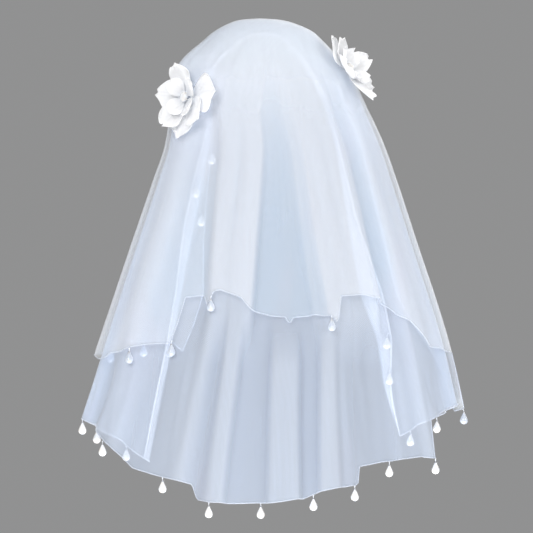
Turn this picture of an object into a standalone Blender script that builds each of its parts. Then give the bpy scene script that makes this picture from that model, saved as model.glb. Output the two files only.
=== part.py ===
"""A bridal veil in two tiers of sheer net, in the shape it takes on a wearer's head.

The wearer faces +Y, so the veil is looked at from behind along +Y. +X is to the right of that view, +Z is
up, and the origin is the point of the crown that carries the cloth. The tables are in millimetres. An azimuth
is in degrees round the head from the middle of the back, positive to the right, and a petal's turn is in
degrees from straight up towards the front. A drop is a distance below the crown.
"""

import math
from collections import namedtuple
from functools import lru_cache

import bmesh
import bpy
from mathutils import Vector

MM = 0.001

WALL = 1.2                 # thickness of each tier
SEAM = 0.3                 # gap between pieces that touch
CROWN = 2 * WALL + SEAM    # height of the veil's top above the head

Section = namedtuple("Section", "drop left right back front")
SECTIONS = (
    Section(0, -2, -2, 0, 0),
    Section(2.3, -28, 25, 28, 25),
    Section(7, -41, 41, 45, 41),
    Section(16, -57, 60, 64, 56),
    Section(26, -69, 71, 76, 66),
    Section(49, -95, 92, 92, 78),
    Section(63, -103, 102, 97, 82),
    Section(105, -107, 123, 106, 88),
    Section(146, -113, 142, 115, 93),
    Section(188, -127, 157, 124, 100),
    Section(258, -151, 180, 138, 112),
    Section(380, -191, 219, 162, 130),
    Section(455, -214, 237, 175, 142),
    Section(560, -246, 266, 190, 154),
)

Fold = namedtuple("Fold", "name gather throat middle hem start inset lower_inset")
FOLDS = (
    Fold("front left", -180, -180, -180, -180, 150, 0, 0),
    Fold("left temple", -146, -146, -146, -146, 150, 0, 1),
    Fold("left cheek swell", -137, -137, -137, -137, 150, 0, 2),
    Fold("left cheek hollow", -127, -127, -127, -127, 150, 7, 11),
    Fold("left ear swell", -116, -116, -116, -116, 150, 0, 1),
    Fold("left ear hollow", -104, -104, -104, -104, 150, 6, 10),
    Fold("left side", -90, -90, -90, -90, 150, 0, 0),
    Fold("left hollow", -72, -74, -74, -75, 130, 4, 9),
    Fold("left swell", -56, -60, -60, -60, 110, 0, 2),
    Fold("left trough", -40, -46, -46, -48, 90, 8, 13),
    Fold("left trough edge", -24, -34.5, -27.5, -33, 70, 10, 8),
    Fold("left band outer edge", -20, -29.5, -22.8, -27, 70, 0, 2),
    Fold("left band", -12, -20, -18, -21.5, 70, 1.5, 13),
    Fold("left rib outer edge", -7, -15, -15.7, -16.6, 70, 0.5, 0),
    Fold("left rib inner edge", -1, -11, -12.1, -14, 70, 0.5, 0),
    Fold("left band inner edge", 4, -7, -9, -11.5, 52, 0, 18),
    Fold("valley left", 5.5, -3.7, -6.4, -7, 52, 17, 20),
    Fold("valley floor", 6.3, -1.5, -3, -2.8, 52, 19, 20),
    Fold("middle rib left", 7, 0.8, 0, 0.2, 52, 19, 4),
    Fold("middle rib right", 7.8, 3, 7, 7.2, 52, 19, 4),
    Fold("valley right", 8.6, 5.2, 12.3, 9.6, 52, 17, 20),
    Fold("step left", 9.8, 8.2, 15.2, 12, 52, 9, 18),
    Fold("step right", 11.5, 11.5, 17.6, 14, 56, 9, 1),
    Fold("broad band left", 13.5, 14.5, 20, 18.3, 60, 0, 1),
    Fold("broad band", 18, 20, 24.5, 21.2, 70, 1, 10),
    Fold("broad band middle", 26, 27, 30.5, 27, 70, 0.5, 14),
    Fold("broad band far", 34, 34, 36.5, 32.5, 70, 0.5, 19),
    Fold("broad band right", 40, 39, 40.5, 37.5, 60, 0, 17),
    Fold("strip left", 44, 43, 44.2, 41.5, 60, 13, 9),
    Fold("strip right", 52, 51, 50.5, 50, 60, 13, 9),
    Fold("outer band left", 57, 56, 55, 54.5, 70, 1, 1),
    Fold("outer band", 73, 73, 72, 72, 110, 2, 7),
    Fold("right side", 90, 90, 90, 90, 150, 0, 0),
    Fold("right ear hollow", 103, 103, 103, 103, 150, 6, 10),
    Fold("right ear swell", 114, 114, 114, 114, 150, 0, 1),
    Fold("right cheek hollow", 125, 125, 125, 125, 150, 7, 11),
    Fold("right cheek swell", 136, 136, 136, 136, 150, 0, 2),
    Fold("right temple", 146, 146, 146, 146, 150, 0, 1),
    Fold("front right", 180, 180, 180, 180, 150, 0, 0),
)
EVEN_DROP = 16             # above this drop the lines are evenly spread
GATHER_DROP = 52           # drops of the four azimuths that each fold gives
THROAT_DROP = 110
MIDDLE_DROP = 330
HEM_DROP = 560
UPPER_FOLDS_END = 336      # between these drops the long tier's folds change to the lower ones
LOWER_FOLDS_START = 396
FOLD_GROWTH = 0.75         # power by which a fold deepens below its start

Lay = namedtuple("Lay", "drop under")
LAYS = (                   # how far the long tier lies under the short one
    Lay(0, WALL + SEAM),
    Lay(56, WALL + SEAM + 0.1),
    Lay(112, 4.5),
    Lay(200, 6.5),
    Lay(330, 7.5),
    Lay(460, 7.5),
)

Edge = namedtuple("Edge", "drop left right left_turn right_turn")
ARCH_TOP = 12              # drop of the front edge over the forehead
LONG_EDGES = (             # azimuths of the front edges, and the width that is turned back inside them
    Edge(ARCH_TOP, 180, 180, 0, 0),
    Edge(18, 165, 165, 0, 0),
    Edge(27, 157, 157, 0, 0),
    Edge(39, 151, 151, 0, 0),
    Edge(54, 147, 147, 0, 0),
    Edge(98, 143, 143, 0, 0),
    Edge(128, 142, 144, 9, 5),
    Edge(160, 142, 145, 17, 8),
    Edge(232, 143, 146, 20, 16),
    Edge(320, 143, 146.5, 11, 36),
    Edge(370, 143, 142.5, 10, 25),
    Edge(424, 143, 142, 11, 12),
    Edge(487, 143, 138.5, 11, 0),
    Edge(517, 143, 138.5, 11, 0),
)
SHORT_EDGES = (
    Edge(ARCH_TOP, 180, 180, 0, 0),
    Edge(18, 165, 165, 0, 0),
    Edge(27, 157, 157, 0, 0),
    Edge(39, 151, 151, 0, 0),
    Edge(54, 147, 145, 0, 0),
    Edge(74, 145, 136, 0, 0),
    Edge(98, 144, 128, 0, 0),
    Edge(173, 146, 128.5, 0, 0),
    Edge(258, 150, 128, 0, 0),
    Edge(320, 153.5, 128, 0, 0),
    Edge(357, 151.5, 122, 0, 0),
    Edge(386, 149, 117, 0, 0),
    Edge(413, 149, 112.5, 0, 0),
    Edge(455, 149, 104, 0, 0),
)

Hem = namedtuple("Hem", "azimuth drop")
LONG_HEM = (
    Hem(-180, 515), Hem(-143, 515), Hem(-128, 488), Hem(-110, 470), Hem(-90, 463),
    Hem(-73, 467), Hem(-56, 493), Hem(-45, 517), Hem(-32, 529), Hem(-22.8, 537),
    Hem(-21, 554), Hem(-16.6, 559), Hem(-3, 561), Hem(8.6, 554), Hem(12.7, 547),
    Hem(19.8, 541), Hem(25.6, 537), Hem(26.8, 516), Hem(35, 510), Hem(50, 505),
    Hem(55.2, 509), Hem(56.4, 465), Hem(62, 459), Hem(74, 450), Hem(90, 447),
    Hem(110, 455), Hem(128, 470), Hem(140, 487), Hem(180, 487),
)
SHORT_HEM = (
    Hem(-180, 388), Hem(-149, 388), Hem(-144, 376), Hem(-120, 374), Hem(-100, 388),
    Hem(-80, 395), Hem(-60, 386), Hem(-55.7, 382), Hem(-50, 377), Hem(-38.6, 375),
    Hem(-37.2, 371), Hem(-35.6, 322), Hem(-27, 320), Hem(-24.5, 333), Hem(-22.3, 317),
    Hem(-20, 315), Hem(-12, 324), Hem(-8.4, 337), Hem(-1.4, 342), Hem(4, 343),
    Hem(5.5, 352), Hem(7, 344), Hem(14.3, 342), Hem(20, 345), Hem(22, 354),
    Hem(24.5, 322), Hem(33, 321), Hem(41, 325), Hem(47.5, 333), Hem(53, 347),
    Hem(58, 363), Hem(62.4, 380), Hem(78, 386), Hem(90, 390), Hem(91.5, 425),
    Hem(94, 453), Hem(103, 455), Hem(180, 455),
)

DOME_ROWS = (1.2, 4, 8, ARCH_TOP, 18, 27, 39, 54, 74, 98, 128, 160)
TurnLine = namedtuple("TurnLine", "share inside")
TURN_LINES = (             # share of a turned strip's width, and how far inside the cloth each line lies
    TurnLine(0.12, 2.6),
    TurnLine(0.5, 5.0),
    TurnLine(1.0, 4.6),
)
FULL_TURN = 8              # a strip narrower than this lies closer to the cloth
Tier = namedtuple("Tier", "name edges hem fall_rows turn_lines")
LONG_TIER = Tier("long_tier", LONG_EDGES, LONG_HEM, 7, TURN_LINES)
SHORT_TIER = Tier("short_tier", SHORT_EDGES, SHORT_HEM, 4, ())
WIDEST_STEP = 6.0          # most degrees between two lines of the cloth on the back
SIDE_LINES = 9             # lines between each side and its front edge
LOWEST_HEM = 600           # a drop below every hem
HALVINGS = 30              # of the span in which a line's end is sought
MERGE = 0.01               # points closer than this are one, as on the closed rings above the arch
SMOOTH_ANGLE = 50          # faces that meet at less than this many degrees are shaded as one

Finish = namedtuple("Finish", "color roughness")
NET = Finish((0.80, 0.85, 0.92), 0.65)
SATIN = Finish((0.90, 0.91, 0.93), 0.35)
PETAL_SILK = Finish((0.93, 0.94, 0.96), 0.50)
BUD = Finish((0.90, 0.90, 0.88), 0.30)
PEARL = Finish((0.92, 0.91, 0.88), 0.22)


def along(points, x):
    """A smooth curve through (x, y) points that never swings past its neighbours."""
    if x <= points[0][0]:
        return points[0][1]
    if x >= points[-1][0]:
        return points[-1][1]
    k = max(i for i, point in enumerate(points) if point[0] <= x)
    slopes = [(b[1] - a[1]) / (b[0] - a[0]) for a, b in zip(points, points[1:])]

    def tangent(i):
        if i == 0 or i == len(points) - 1:
            return slopes[0] if i == 0 else slopes[-1]
        before, after = slopes[i - 1], slopes[i]
        return 0.0 if before * after <= 0 else 2 * before * after / (before + after)

    (x0, y0), (x1, y1) = points[k], points[k + 1]
    h = x1 - x0
    t = (x - x0) / h
    rise = y1 - y0
    return (y0 + h * tangent(k) * t * (1 - t) ** 2 - h * tangent(k + 1) * t * t * (1 - t)
            + rise * t * t * (3 - 2 * t))


def straight(points, x):
    """Straight lines through (x, y) points."""
    if x <= points[0][0]:
        return points[0][1]
    for (x0, y0), (x1, y1) in zip(points, points[1:]):
        if x <= x1:
            return y0 + (y1 - y0) * (x - x0) / (x1 - x0)
    return points[-1][1]


def envelope(azimuth, drop):
    """A point of the outer form, without its folds."""
    root = math.sqrt(drop)
    left, right, back, front = (
        along([(math.sqrt(row.drop), getattr(row, side)) for row in SECTIONS], root)
        for side in ("left", "right", "back", "front"))
    turn = math.radians(azimuth)
    depth = back if math.cos(turn) > 0 else front
    across = (left + right) / 2 + (right - left) / 2 * math.sin(turn)
    return Vector((across, -depth * math.cos(turn), CROWN - drop))


def one_degree(azimuth, drop):
    """The step over one degree round the outer form."""
    return envelope(azimuth + 0.5, drop) - envelope(azimuth - 0.5, drop)


def outward(azimuth, drop):
    """The unit normal of the outer form."""
    if drop <= 0:
        return Vector((0, 0, 1))
    step = min(1.0, drop / 2)
    down = envelope(azimuth, drop + step) - envelope(azimuth, drop - step)
    return down.cross(one_degree(azimuth, drop)).normalized()


def fold_azimuth(fold, drop):
    """Where a fold line lies at a drop."""
    drops = (GATHER_DROP, THROAT_DROP, MIDDLE_DROP, HEM_DROP)
    return straight(list(zip(drops, (fold.gather, fold.throat, fold.middle, fold.hem))), drop)


def fold_inset(fold, drop):
    """How far a fold line lies inside the outer form at a drop."""
    if drop <= fold.start:
        return 0.0
    grown = min(1.0, (drop - fold.start) / (MIDDLE_DROP - fold.start)) ** FOLD_GROWTH
    return straight(((UPPER_FOLDS_END, fold.inset * grown), (LOWER_FOLDS_START, fold.lower_inset)), drop)


def inset(azimuth, drop, lower=True):
    """How far the cloth lies inside the outer form, eased from one fold line to the next."""
    drop = drop if lower else min(drop, UPPER_FOLDS_END)
    azimuths = [fold_azimuth(fold, drop) for fold in FOLDS]
    k = max(i for i in range(len(FOLDS) - 1) if azimuths[i] <= azimuth or i == 0)
    t = (azimuth - azimuths[k]) / (azimuths[k + 1] - azimuths[k])
    eased = t * t * (3 - 2 * t)
    return fold_inset(FOLDS[k], drop) * (1 - eased) + fold_inset(FOLDS[k + 1], drop) * eased


def under(tier, drop):
    """How far the middle of a tier's wall lies inside the folded form."""
    lay = straight(LAYS, drop) if tier is LONG_TIER else 0.0
    return WALL / 2 + lay


def cloth_point(tier, azimuth, drop, inside=0.0):
    """The middle of a tier's wall, or a point that much further inside."""
    depth = inset(azimuth, drop, tier is LONG_TIER) + under(tier, drop) + inside
    return envelope(azimuth, drop) - outward(azimuth, drop) * depth


def edge_azimuth(tier, side, drop):
    """The azimuth of a tier's front edge, without its sign."""
    name = "left" if side < 0 else "right"
    return straight([(row.drop, getattr(row, name)) for row in tier.edges], drop)


def turned_width(tier, side, drop):
    """The width of cloth turned back inside a front edge."""
    name = "left_turn" if side < 0 else "right_turn"
    return straight([(row.drop, getattr(row, name)) for row in tier.edges], drop)


def back_line(first, second, share, even):
    """A line of the cloth on the back, part of the way from one fold line to the next."""
    def place(drop):
        azimuth = fold_azimuth(first, drop) * (1 - share) + fold_azimuth(second, drop) * share
        if drop < GATHER_DROP:
            t = max(0.0, (drop - EVEN_DROP) / (GATHER_DROP - EVEN_DROP))
            azimuth = even * (1 - t) + azimuth * t
        return azimuth, 0.0
    return place


def side_line(tier, side, share):
    """A line of the cloth between a side and its front edge."""
    def place(drop):
        return side * (90 + share * (edge_azimuth(tier, side, drop) - 90)), 0.0
    return place


def turned_line(tier, side, share, inside):
    """A line of the strip that is turned back inside a front edge."""
    def place(drop):
        azimuth = side * edge_azimuth(tier, side, drop)
        width = turned_width(tier, side, drop)
        degree = one_degree(azimuth, drop).length
        return azimuth - side * share * width / degree, inside * min(1.0, width / FULL_TURN)
    return place


def cloth_lines(tier):
    """All the lines of a tier, from its left front edge round the back to its right one."""
    back = [fold for fold in FOLDS if -90 <= fold.throat <= 90]
    spans = []
    for first, second in zip(back, back[1:]):
        widest = max(second.throat - first.throat, second.middle - first.middle)
        steps = math.ceil(widest / WIDEST_STEP)
        spans += [(first, second, i / steps) for i in range(steps)]
    spans.append((back[-2], back[-1], 1.0))
    lines = [turned_line(tier, -1, *row) for row in reversed(tier.turn_lines)]
    lines += [side_line(tier, -1, (SIDE_LINES - i) / SIDE_LINES) for i in range(SIDE_LINES)]
    last = len(spans) - 1
    lines += [back_line(*span, -90 + 180 * i / last) for i, span in enumerate(spans)]
    lines += [side_line(tier, 1, (i + 1) / SIDE_LINES) for i in range(SIDE_LINES)]
    lines += [turned_line(tier, 1, *row) for row in tier.turn_lines]
    return lines


def hem_drop(tier, line):
    """The drop at which a line of the cloth meets the hem."""
    low, high = DOME_ROWS[-1], LOWEST_HEM
    for _ in range(HALVINGS):
        middle = (low + high) / 2
        if middle < straight(tier.hem, line(middle)[0]):
            low = middle
        else:
            high = middle
    return low


def line_points(tier, line):
    """The points of one line, from the crown to the hem."""
    end = hem_drop(tier, line)
    start = DOME_ROWS[-1]
    fall = [start + (end - start) * (i + 1) / tier.fall_rows for i in range(tier.fall_rows)]
    return [cloth_point(tier, line(drop)[0], drop, line(drop)[1]) for drop in (*DOME_ROWS, *fall)]


def material(name, finish):
    """A plain material with a finish's colour and roughness."""
    made = bpy.data.materials.new(name)
    made.use_nodes = True
    shader = made.node_tree.nodes["Principled BSDF"]
    shader.inputs["Base Color"].default_value = (*finish.color, 1)
    shader.inputs["Roughness"].default_value = finish.roughness
    shader.inputs["Metallic"].default_value = 0.0
    made.diffuse_color = (*finish.color, 1)
    return made


def place(name, mesh, surface):
    """Puts a mesh in the scene as a named sub-part."""
    mesh.shade_smooth()
    mesh.set_sharp_from_angle(angle=math.radians(SMOOTH_ANGLE))
    mesh.materials.append(surface)
    piece = bpy.data.objects.new(name, mesh)
    bpy.context.scene.collection.objects.link(piece)
    return piece


def build_tier(tier, surface):
    """One tier: a sheet over the dome of the head that hangs in folds and is open at the face."""
    rows = list(zip(*(line_points(tier, line) for line in cloth_lines(tier))))
    shape = bmesh.new()
    crown = shape.verts.new((envelope(0, 0) - Vector((0, 0, under(tier, 0)))) * MM)
    grid = [[shape.verts.new(point * MM) for point in row] for row in rows]
    for a, b in zip(grid[0], grid[0][1:]):
        shape.faces.new((crown, a, b))
    for upper, lower in zip(grid, grid[1:]):
        for i in range(len(upper) - 1):
            shape.faces.new((upper[i], lower[i], lower[i + 1], upper[i + 1]))
    bmesh.ops.remove_doubles(shape, verts=shape.verts, dist=MERGE * MM)
    bmesh.ops.recalc_face_normals(shape, faces=shape.faces)
    mesh = bpy.data.meshes.new(tier.name)
    shape.to_mesh(mesh)
    shape.free()
    piece = place(tier.name, mesh, surface)
    wall = piece.modifiers.new("Wall", "SOLIDIFY")
    wall.thickness = WALL * MM
    wall.offset = 0.0
    return piece


def loft(name, rings, surface):
    """A closed body through rings of points, with a flat face at each end."""
    shape = bmesh.new()
    made = [[shape.verts.new(point * MM) for point in ring] for ring in rings]
    for a, b in zip(made, made[1:]):
        for i in range(len(a)):
            j = (i + 1) % len(a)
            shape.faces.new((a[i], a[j], b[j], b[i]))
    shape.faces.new(made[0][::-1])
    shape.faces.new(made[-1])
    bmesh.ops.recalc_face_normals(shape, faces=shape.faces)
    mesh = bpy.data.meshes.new(name)
    shape.to_mesh(mesh)
    shape.free()
    return place(name, mesh, surface)


BAND_WIDTH = 7.0           # satin band on the head, under the front edge of both tiers
BAND_THICK = 2.4
BAND_SETBACK = 6.0         # from the front edge to the middle of the band
BAND_GAP = 0.9             # from the band to the smooth form of the cloth, whose flat faces lie closer
BAND_SIDES = 8
BAND_DROPS = (86, 70, 54, 39, 27, 18, 13.2)


def band_place(side, drop):
    """A point of the band's course, with the direction that faces the cloth."""
    azimuth = side * edge_azimuth(LONG_TIER, side, drop)
    azimuth -= side * BAND_SETBACK / one_degree(azimuth, drop).length
    normal = outward(azimuth, drop)
    centre = cloth_point(LONG_TIER, azimuth, drop, WALL / 2 + BAND_GAP + BAND_THICK / 2)
    return centre, normal


def build_band(surface):
    """The covered band that the veil is sewn to, from temple to temple over the head."""
    course = [band_place(-1, drop) for drop in BAND_DROPS]
    course += [band_place(1, drop) for drop in reversed(BAND_DROPS)]
    rings = []
    for i, (centre, normal) in enumerate(course):
        before = course[max(i - 1, 0)][0]
        after = course[min(i + 1, len(course) - 1)][0]
        ahead = (after - before).normalized()
        across = ahead.cross(normal).normalized()
        up = across.cross(ahead).normalized()
        turns = [2 * math.pi * k / BAND_SIDES for k in range(BAND_SIDES)]
        rings.append([centre + across * (math.cos(t) * BAND_WIDTH / 2) + up * (math.sin(t) * BAND_THICK / 2)
                      for t in turns])
    return loft("hair_band", rings, surface)


PETAL_WALL = 1.4
PETAL_ROOT = 4.0           # distance of a petal's root from the middle of the flower
PETAL_ROWS = 5
PETAL_LANES = 4
PETAL_CUPS = (0.4, 4.0, 3.5)    # rise of a petal's sides at its tip, in each layer
PETAL_NECK = 0.12          # a petal's width at its root, as a share of its whole width
PETAL_SWELL = 0.92         # share of a half wave that a petal's outline follows, so that its tip is cut round
PETAL_FULLNESS = 1.15      # power that sets the widest place beyond the middle
LIFT_POWER = 1.5           # power by which a petal rises towards its tip
UPPER_LAYER = PETAL_WALL + SEAM
Petal = namedtuple("Petal", "turn length width lift layer")
Flower = namedtuple("Flower", "name azimuth drop petals")
FLOWERS = (
    Flower("left_flower", -54, 93, (
        Petal(-82, 57, 46, 5, 0),
        Petal(14, 40, 34, 12, 1),
        Petal(85, 50, 36, 8, 0),
        Petal(140, 43, 36, 12, 1),
        Petal(170, 48, 40, 5, 0),
        Petal(-128, 44, 40, 8, 1),
        Petal(-48, 28, 27, 10, 2),
        Petal(46, 25, 25, 11, 2),
        Petal(138, 24, 26, 11, 2),
        Petal(-136, 27, 26, 10, 2),
    )),
    Flower("right_flower", 72, 62, (
        Petal(-24, 43, 48, 10, 0),
        Petal(-2, 36, 38, 12, 1),
        Petal(81, 53, 26, 14, 1),
        Petal(122, 46, 46, 8, 0),
        Petal(-176, 47, 42, 9, 1),
        Petal(-93, 35, 33, 12, 1),
        Petal(-38, 25, 25, 11, 2),
        Petal(50, 26, 25, 11, 2),
        Petal(142, 28, 27, 10, 2),
        Petal(-132, 27, 26, 10, 2),
    )),
)
BUD_FLOOR = 3 * UPPER_LAYER + 1.0    # clear of the layers of cupped petals
BUD_RADIUS = 6.5
BUD_HEIGHT = 5.0
BUD_SWEEP = 75             # degrees of its round top, whose middle is flat
BUD_SIDES = 10
BUD_RINGS = 4


def flower_frame(flower):
    """The seat of a flower on the cloth, with its outward, upward and forward directions."""
    face = outward(flower.azimuth, flower.drop)
    seat = envelope(flower.azimuth, flower.drop) + face * SEAM
    upward = (Vector((0, 0, 1)) - face * face.z).normalized()
    forward = face.cross(upward)
    return seat, face, upward, forward if forward.y > 0 else -forward


def petal_point(petal, frame, along_share, across_share):
    """A point of the petal's middle: a cupped leaf that rises from the cloth."""
    seat, face, upward, forward = frame
    turn = math.radians(petal.turn)
    ahead = upward * math.cos(turn) + forward * math.sin(turn)
    across = ahead.cross(face).normalized()
    reach = PETAL_ROOT + (petal.length - PETAL_ROOT) * along_share
    swell = math.sin(math.pi * PETAL_SWELL * along_share ** PETAL_FULLNESS)
    spread = petal.width / 2 * (PETAL_NECK + (1 - PETAL_NECK) * swell)
    height = PETAL_WALL / 2 + petal.layer * UPPER_LAYER + petal.lift * along_share ** LIFT_POWER
    height += PETAL_CUPS[petal.layer] * along_share * across_share ** 2
    return seat + ahead * reach + across * (spread * across_share) + face * height


def build_petal(name, petal, frame, surface):
    """A petal of silk with its own wall."""
    shape = bmesh.new()
    grid = [[shape.verts.new(petal_point(petal, frame, i / PETAL_ROWS, 2 * j / PETAL_LANES - 1) * MM)
             for j in range(PETAL_LANES + 1)] for i in range(PETAL_ROWS + 1)]
    for a, b in zip(grid, grid[1:]):
        for j in range(PETAL_LANES):
            shape.faces.new((a[j], a[j + 1], b[j + 1], b[j]))
    bmesh.ops.recalc_face_normals(shape, faces=shape.faces)
    mesh = bpy.data.meshes.new(name)
    shape.to_mesh(mesh)
    shape.free()
    piece = place(name, mesh, surface)
    wall = piece.modifiers.new("Wall", "SOLIDIFY")
    wall.thickness = PETAL_WALL * MM
    wall.offset = 0.0
    return piece


def build_bud(name, frame, surface):
    """The button in the middle of a flower."""
    seat, face, upward, forward = frame
    floor = seat + face * BUD_FLOOR
    rings = []
    for i in range(BUD_RINGS):
        lift = math.radians(BUD_SWEEP * i / (BUD_RINGS - 1))
        radius, height = BUD_RADIUS * math.cos(lift), BUD_HEIGHT * math.sin(lift)
        rings.append([floor + face * height
                      + (upward * math.cos(t) + forward * math.sin(t)) * radius
                      for t in (2 * math.pi * k / BUD_SIDES for k in range(BUD_SIDES))])
    return loft(name, rings, surface)


def build_flower(flower, silk, bud):
    """Ten petals in three layers round a button."""
    frame = flower_frame(flower)
    for number, petal in enumerate(flower.petals, 1):
        build_petal(f"{flower.name}_petal_{number}", petal, frame, silk)
    build_bud(f"{flower.name}_button", frame, bud)


THREAD_RADIUS = 0.6
THREAD_LENGTH = 4.0
DROP_SIDES = 8
Ring = namedtuple("Ring", "below radius")
DROP_RINGS = (             # a pearl drop on its thread, from the hem down
    Ring(0, THREAD_RADIUS),
    Ring(THREAD_LENGTH, THREAD_RADIUS),
    Ring(7, 1.7),
    Ring(10.5, 3.9),
    Ring(13.6, 4.7),
    Ring(16.4, 3.7),
    Ring(18, 1.2),
)
LONG_HEM_DROPS = (-132, -112, -88, -60, -32, -18, -3.5, 11, 24.7, 38, 54.7, 118, 136)
SHORT_HEM_DROPS = (-148, -128, -108, -56, -38.4, -24.5, 22, 94.5)
REST_GAP = 0.8             # from a short tier's drop to the long tier behind it
EDGE_LEAN = 2.8            # how far a drop leans off a front edge
EdgeDrop = namedtuple("EdgeDrop", "name side drop turned")
EDGE_DROPS = (             # drops along the front edges of the long tier
    EdgeDrop("left_edge_drop_1", -1, 152, False),
    EdgeDrop("left_edge_drop_2", -1, 190, True),
    EdgeDrop("left_edge_drop_3", -1, 224, False),
    EdgeDrop("right_edge_drop_1", 1, 366, True),
    EdgeDrop("right_edge_drop_2", 1, 408, True),
)


def build_drop(name, top, surface, lean=Vector((0, 0, 0))):
    """A pearl drop that hangs from a point, where its thread leans off the cloth before it falls straight."""
    turns = [2 * math.pi * k / DROP_SIDES for k in range(DROP_SIDES)]
    rings = []
    for ring in DROP_RINGS:
        centre = top + lean * min(1.0, ring.below / THREAD_LENGTH) - Vector((0, 0, ring.below))
        rings.append([centre + Vector((math.cos(t), math.sin(t), 0)) * ring.radius for t in turns])
    return loft(name, rings, surface)


@lru_cache(maxsize=None)
def hem_points(tier):
    """The ends of a tier's lines, with the azimuth of each."""
    lines = cloth_lines(tier)
    turned = len(tier.turn_lines)
    lines = lines[turned:len(lines) - turned]
    ends = [(line(hem_drop(tier, line))[0], hem_drop(tier, line)) for line in lines]
    return [(azimuth, cloth_point(tier, azimuth, drop)) for azimuth, drop in ends]


def lean_off_long_tier(azimuth, point):
    """How a drop under the short tier leans outwards, so that it rests on the long tier."""
    normal = outward(azimuth, CROWN - point.z)
    level = Vector((normal.x, normal.y, 0)).normalized()
    lean = 0.0
    for ring in DROP_RINGS:
        behind = cloth_point(LONG_TIER, azimuth, CROWN - point.z + ring.below)
        room = (point - behind).dot(level) - WALL / 2
        lean = max(lean, ring.radius + REST_GAP - room)
    return level * lean


def hang_on_hem(name, tier, azimuth, surface):
    """A drop just under the hem, at the line of the cloth nearest to an azimuth."""
    ends = hem_points(tier)
    k = min(range(1, len(ends) - 1), key=lambda i: abs(ends[i][0] - azimuth))
    point = ends[k][1]
    steepest = 0.0
    for other in (ends[k - 1][1], ends[k + 1][1]):
        run = math.hypot(other.x - point.x, other.y - point.y)
        steepest = max(steepest, (point.z - other.z) / run)
    clear = SEAM + steepest * (THREAD_RADIUS + WALL / 2)
    lean = lean_off_long_tier(*ends[k]) if tier is SHORT_TIER else Vector((0, 0, 0))
    return build_drop(name, point - Vector((0, 0, clear)), surface, lean)


def hang_on_edge(row, surface):
    """A drop beside a front edge of the long tier, or beside the strip turned back inside it."""
    share, inside = TURN_LINES[-1] if row.turned else (0.0, 0.0)
    line = turned_line(LONG_TIER, row.side, share, inside)
    azimuth = line(row.drop)[0]
    ends = line_points(LONG_TIER, line)
    above, below = next((a, b) for a, b in zip(ends, ends[1:]) if b.z <= CROWN - row.drop <= a.z)
    point = above.lerp(below, (above.z - CROWN + row.drop) / (above.z - below.z))
    clear = WALL / 2 + SEAM + THREAD_RADIUS
    towards_face = one_degree(azimuth, row.drop).normalized() * row.side
    free = -outward(azimuth, row.drop) if row.turned else towards_face
    return build_drop(row.name, point + free * clear, surface, free * EDGE_LEAN)


def main():
    """Builds the whole veil."""
    for old in list(bpy.data.objects):
        bpy.data.objects.remove(old, do_unlink=True)
    net = material("net", NET)
    satin = material("satin", SATIN)
    silk = material("petal silk", PETAL_SILK)
    bud = material("button", BUD)
    pearl = material("pearl", PEARL)
    build_tier(LONG_TIER, net)
    build_tier(SHORT_TIER, net)
    build_band(satin)
    for flower in FLOWERS:
        build_flower(flower, silk, bud)
    for number, azimuth in enumerate(LONG_HEM_DROPS, 1):
        hang_on_hem(f"long_hem_drop_{number:02d}", LONG_TIER, azimuth, pearl)
    for number, azimuth in enumerate(SHORT_HEM_DROPS, 1):
        hang_on_hem(f"short_hem_drop_{number:02d}", SHORT_TIER, azimuth, pearl)
    for row in EDGE_DROPS:
        hang_on_edge(row, pearl)


main()
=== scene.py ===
"""Looks of a bridal veil in two tiers of sheer net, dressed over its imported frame.

The wearer faces +Y, so the camera looks along +Y at the back of the veil, with +X to its right and +Z
up. The origin is the point of the crown that carries the cloth. The tables are in millimetres. An
azimuth is in degrees round the head from the middle of the back, positive to the right, and a drop is a
distance below the crown.
"""

import logging
import math
from contextlib import contextmanager
from dataclasses import dataclass, field
from enum import Enum
from typing import Callable, Iterator, NamedTuple

import bmesh
import bpy
import numpy as np
from mathutils import Matrix, Vector


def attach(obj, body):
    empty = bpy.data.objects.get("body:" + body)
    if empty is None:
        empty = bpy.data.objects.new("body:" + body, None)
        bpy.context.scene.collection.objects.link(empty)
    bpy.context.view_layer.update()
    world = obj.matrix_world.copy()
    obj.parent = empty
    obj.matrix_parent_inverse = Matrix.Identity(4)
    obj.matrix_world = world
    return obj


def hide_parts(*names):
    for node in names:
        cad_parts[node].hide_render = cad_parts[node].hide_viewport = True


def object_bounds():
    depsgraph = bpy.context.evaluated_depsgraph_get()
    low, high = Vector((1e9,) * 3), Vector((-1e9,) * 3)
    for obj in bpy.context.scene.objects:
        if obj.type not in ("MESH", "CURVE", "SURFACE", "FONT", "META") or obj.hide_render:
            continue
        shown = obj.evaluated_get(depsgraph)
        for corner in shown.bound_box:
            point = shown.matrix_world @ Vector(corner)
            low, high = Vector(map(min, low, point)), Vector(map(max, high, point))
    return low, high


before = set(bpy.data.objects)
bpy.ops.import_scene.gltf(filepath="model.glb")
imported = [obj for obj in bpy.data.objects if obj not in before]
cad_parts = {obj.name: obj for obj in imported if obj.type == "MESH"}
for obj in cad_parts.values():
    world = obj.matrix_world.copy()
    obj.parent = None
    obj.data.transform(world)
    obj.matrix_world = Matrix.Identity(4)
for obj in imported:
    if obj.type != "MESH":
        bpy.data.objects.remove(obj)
CAD_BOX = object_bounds()

LOG = logging.getLogger("veil")

Array = np.ndarray
Color = tuple[float, float, float]
Socket = bpy.types.NodeSocket
Line = Callable[[Array], tuple[Array, Array]]

MM = 0.001
WALL = 1.2                 # thickness of a tier's solid
SEAM = 0.3                 # gap between solids that touch
CROWN = 2 * WALL + SEAM    # height of the veil's top above the head


class Section(NamedTuple):
    """A level cut of the outer form, by how far it reaches on each side."""

    drop: float
    left: float
    right: float
    back: float
    front: float


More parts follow.
